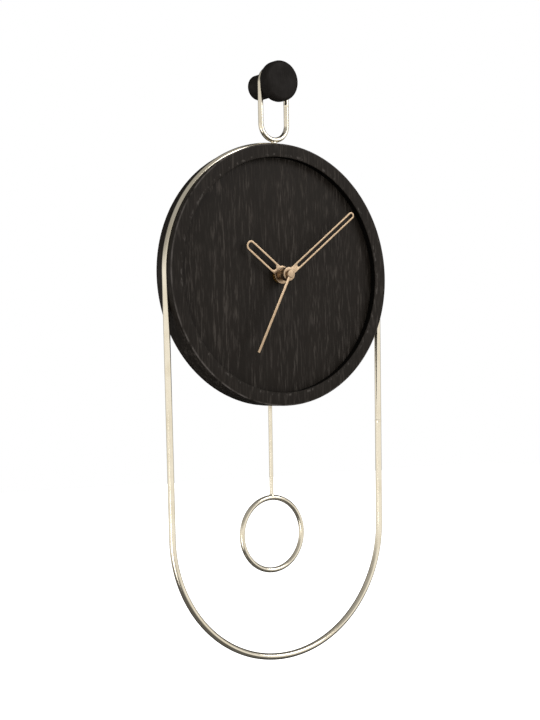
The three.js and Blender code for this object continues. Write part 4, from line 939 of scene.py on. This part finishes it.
def dress_nodes():
    """New materials for the nodes whose own shape is right."""
    finishes = {
        steel_finish: ["motor_stator", "quartz_crystal", "battery_contact_plus", "battery_contact_minus",
                       "pendulum_pivot_pin"],
        brass_finish: ["shaft_bushing", "dial_washer", "shaft_nut"],
        white_plastic: ["second_wheel", "third_wheel", "intermediate_wheel", "minute_wheel", "motion_wheel",
                        "hour_wheel", "motor_rotor"],
        magnet_finish: ["rotor_magnet", "pendulum_magnet"],
        windings: ["motor_coil", "pendulum_coil"],
        board_finish: ["circuit_board"],
    }
    for finish, names in finishes.items():
        for name in names:
            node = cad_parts[name]
            if not node.material_slots:
                node.data.materials.append(finish)
            for slot in node.material_slots:
                slot.material = finish


# ---- Stage, light and camera ----

FLOOR_Z = -0.62
FLOOR_HALF = 4.0
FLOOR_CELLS = 8
DARKEST = 0.03  # the least strength that the room falls to


def build_stage():
    across = np.linspace(-FLOOR_HALF, FLOOR_HALF, FLOOR_CELLS + 1)
    x, y = np.meshgrid(across, across, indexing="ij")
    verts = np.stack([x, y, np.full_like(x, FLOOR_Z)], -1).reshape(-1, 3)
    i, j = np.meshgrid(np.arange(FLOOR_CELLS), np.arange(FLOOR_CELLS), indexing="ij")
    first = i * len(across) + j
    faces = first[..., None] + [0, len(across), len(across) + 1, 1]
    mesh = bpy.data.meshes.new("pale_floor")
    mesh.from_pydata(verts.tolist(), [], faces.reshape(-1, 4).tolist())
    floor = bpy.data.objects.new("pale_floor", mesh)
    bpy.context.scene.collection.objects.link(floor)
    finish = Finish("pale_floor", Roughness=0.9)
    tone = finish.noise(finish.place, 3.0, 2)
    shade = finish.mix(tone, (0.86, 0.86, 0.85), (0.9, 0.9, 0.9))
    finish.tree.links.new(shade, finish.shader.inputs["Base Color"])
    finish.shader.inputs["Emission Color"].default_value = (1, 1, 1, 1)
    finish.shader.inputs["Emission Strength"].default_value = 0.9
    mesh.materials.append(finish.material)
    floor.visible_glossy = False
    floor.visible_diffuse = False


def build_world():
    """White behind the clock. It is lit by a soft room, brightest in front, and its metal reflects a white
    band round the horizon, a greyer ceiling, a dark floor and a dark patch straight behind the clock."""
    world = bpy.data.worlds.new("soft_studio")
    world.use_nodes = True
    bpy.context.scene.world = world
    nodes = Nodes(world.node_tree)
    nodes.tree.nodes.clear()
    direction = nodes.add("ShaderNodeTexCoord").outputs["Generated"]
    path = nodes.add("ShaderNodeLightPath")

    def lobe(toward, low, high, from_value, to_value):
        """Strength by the cosine between the ray and a direction."""
        inputs = {0: direction, 1: Vector(toward).normalized()}
        cosine = nodes.add("ShaderNodeVectorMath", inputs, operation="DOT_PRODUCT").outputs["Value"]
        return nodes.ramp(cosine, low, high, from_value, to_value)

    def room(lobes, colour):
        total = lobes[0]
        for extra in lobes[1:]:
            total = nodes.sum("ADD", total, extra)
        strength = nodes.sum("MAXIMUM", total, DARKEST)
        return nodes.add("ShaderNodeBackground", {"Strength": strength, "Color": (*colour, 1)}).outputs[0]

    def choose(ray, otherwise, when):
        return nodes.add("ShaderNodeMixShader", {0: path.outputs[ray], 1: otherwise, 2: when}).outputs[0]

    white = nodes.add("ShaderNodeBackground", {"Color": (1, 1, 1, 1)}).outputs[0]
    light = room([
        lobe((-0.35, -0.93, 0.12), -0.2, 0.85, 0.22, 0.80),
        lobe((0.60, -0.78, 0.20), 0.35, 0.95, 0, 0.35),
        lobe((-0.75, -0.2, -0.6), 0.2, 0.95, 0, 0.9),
        lobe((0.2, 1, 0.2), -0.1, 0.9, 0, 0.6),
    ], (1.0, 0.985, 0.955))
    mirrored = room([
        lobe((0, 0, -1), -0.42, -0.03, -0.61, 0),
        lobe((0, 0, 1), -0.55, -0.12, 0.13, 1.01),
        lobe((0.57, 0.82, 0), 0.05, 0.95, 0, -0.70),
    ], (1.0, 0.975, 0.925))
    seen = choose("Is Camera Ray", choose("Is Glossy Ray", light, mirrored), white)
    nodes.add("ShaderNodeOutputWorld", {"Surface": seen})


def add_light(name, place, target, size, power):
    data = bpy.data.lights.new(name, "AREA")
    data.shape = "DISK"
    data.size = size
    data.energy = power
    light = bpy.data.objects.new(name, data)
    bpy.context.scene.collection.objects.link(light)
    light.location = place
    light.rotation_euler = (Vector(target) - Vector(place)).to_track_quat("-Z", "Y").to_euler()


def build_camera():
    """Level with the pendulum's ring and well to the left, as the clock is usually shown."""
    azimuth, elevation, roll = (math.radians(v) for v in (-35.04, -0.80, -0.99))
    distance = 1.1513
    lens = 74.24
    target = Vector((0.0028, -0.006, -0.2121))
    back = Vector((math.sin(azimuth) * math.cos(elevation), -math.cos(azimuth) * math.cos(elevation),
                   math.sin(elevation)))
    level = Vector((math.cos(azimuth), math.sin(azimuth), 0))
    plumb = back.cross(level)
    right = level * math.cos(roll) + plumb * math.sin(roll)
    up = plumb * math.cos(roll) - level * math.sin(roll)
    data = bpy.data.cameras.new("camera")
    data.lens = lens
    data.clip_end = 50
    camera = bpy.data.objects.new("camera", data)
    bpy.context.scene.collection.objects.link(camera)
    turn = Matrix((right, up, back)).transposed().to_4x4()
    camera.matrix_world = Matrix.Translation(target + back * distance) @ turn
    bpy.context.scene.camera = camera


build_knob()
build_case()
build_wires()
build_hands()
build_pendulum()
build_rear()
dress_nodes()
build_stage()
build_world()
add_light("key_softbox", (1.1, -1.5, 0.8), (0, 0, -0.2), 1.1, 14)
add_light("left_fill", (-1.5, -0.7, -0.9), (0, 0, -0.2), 0.9, 7)
build_camera()
bpy.context.scene.view_settings.view_transform = "Standard"
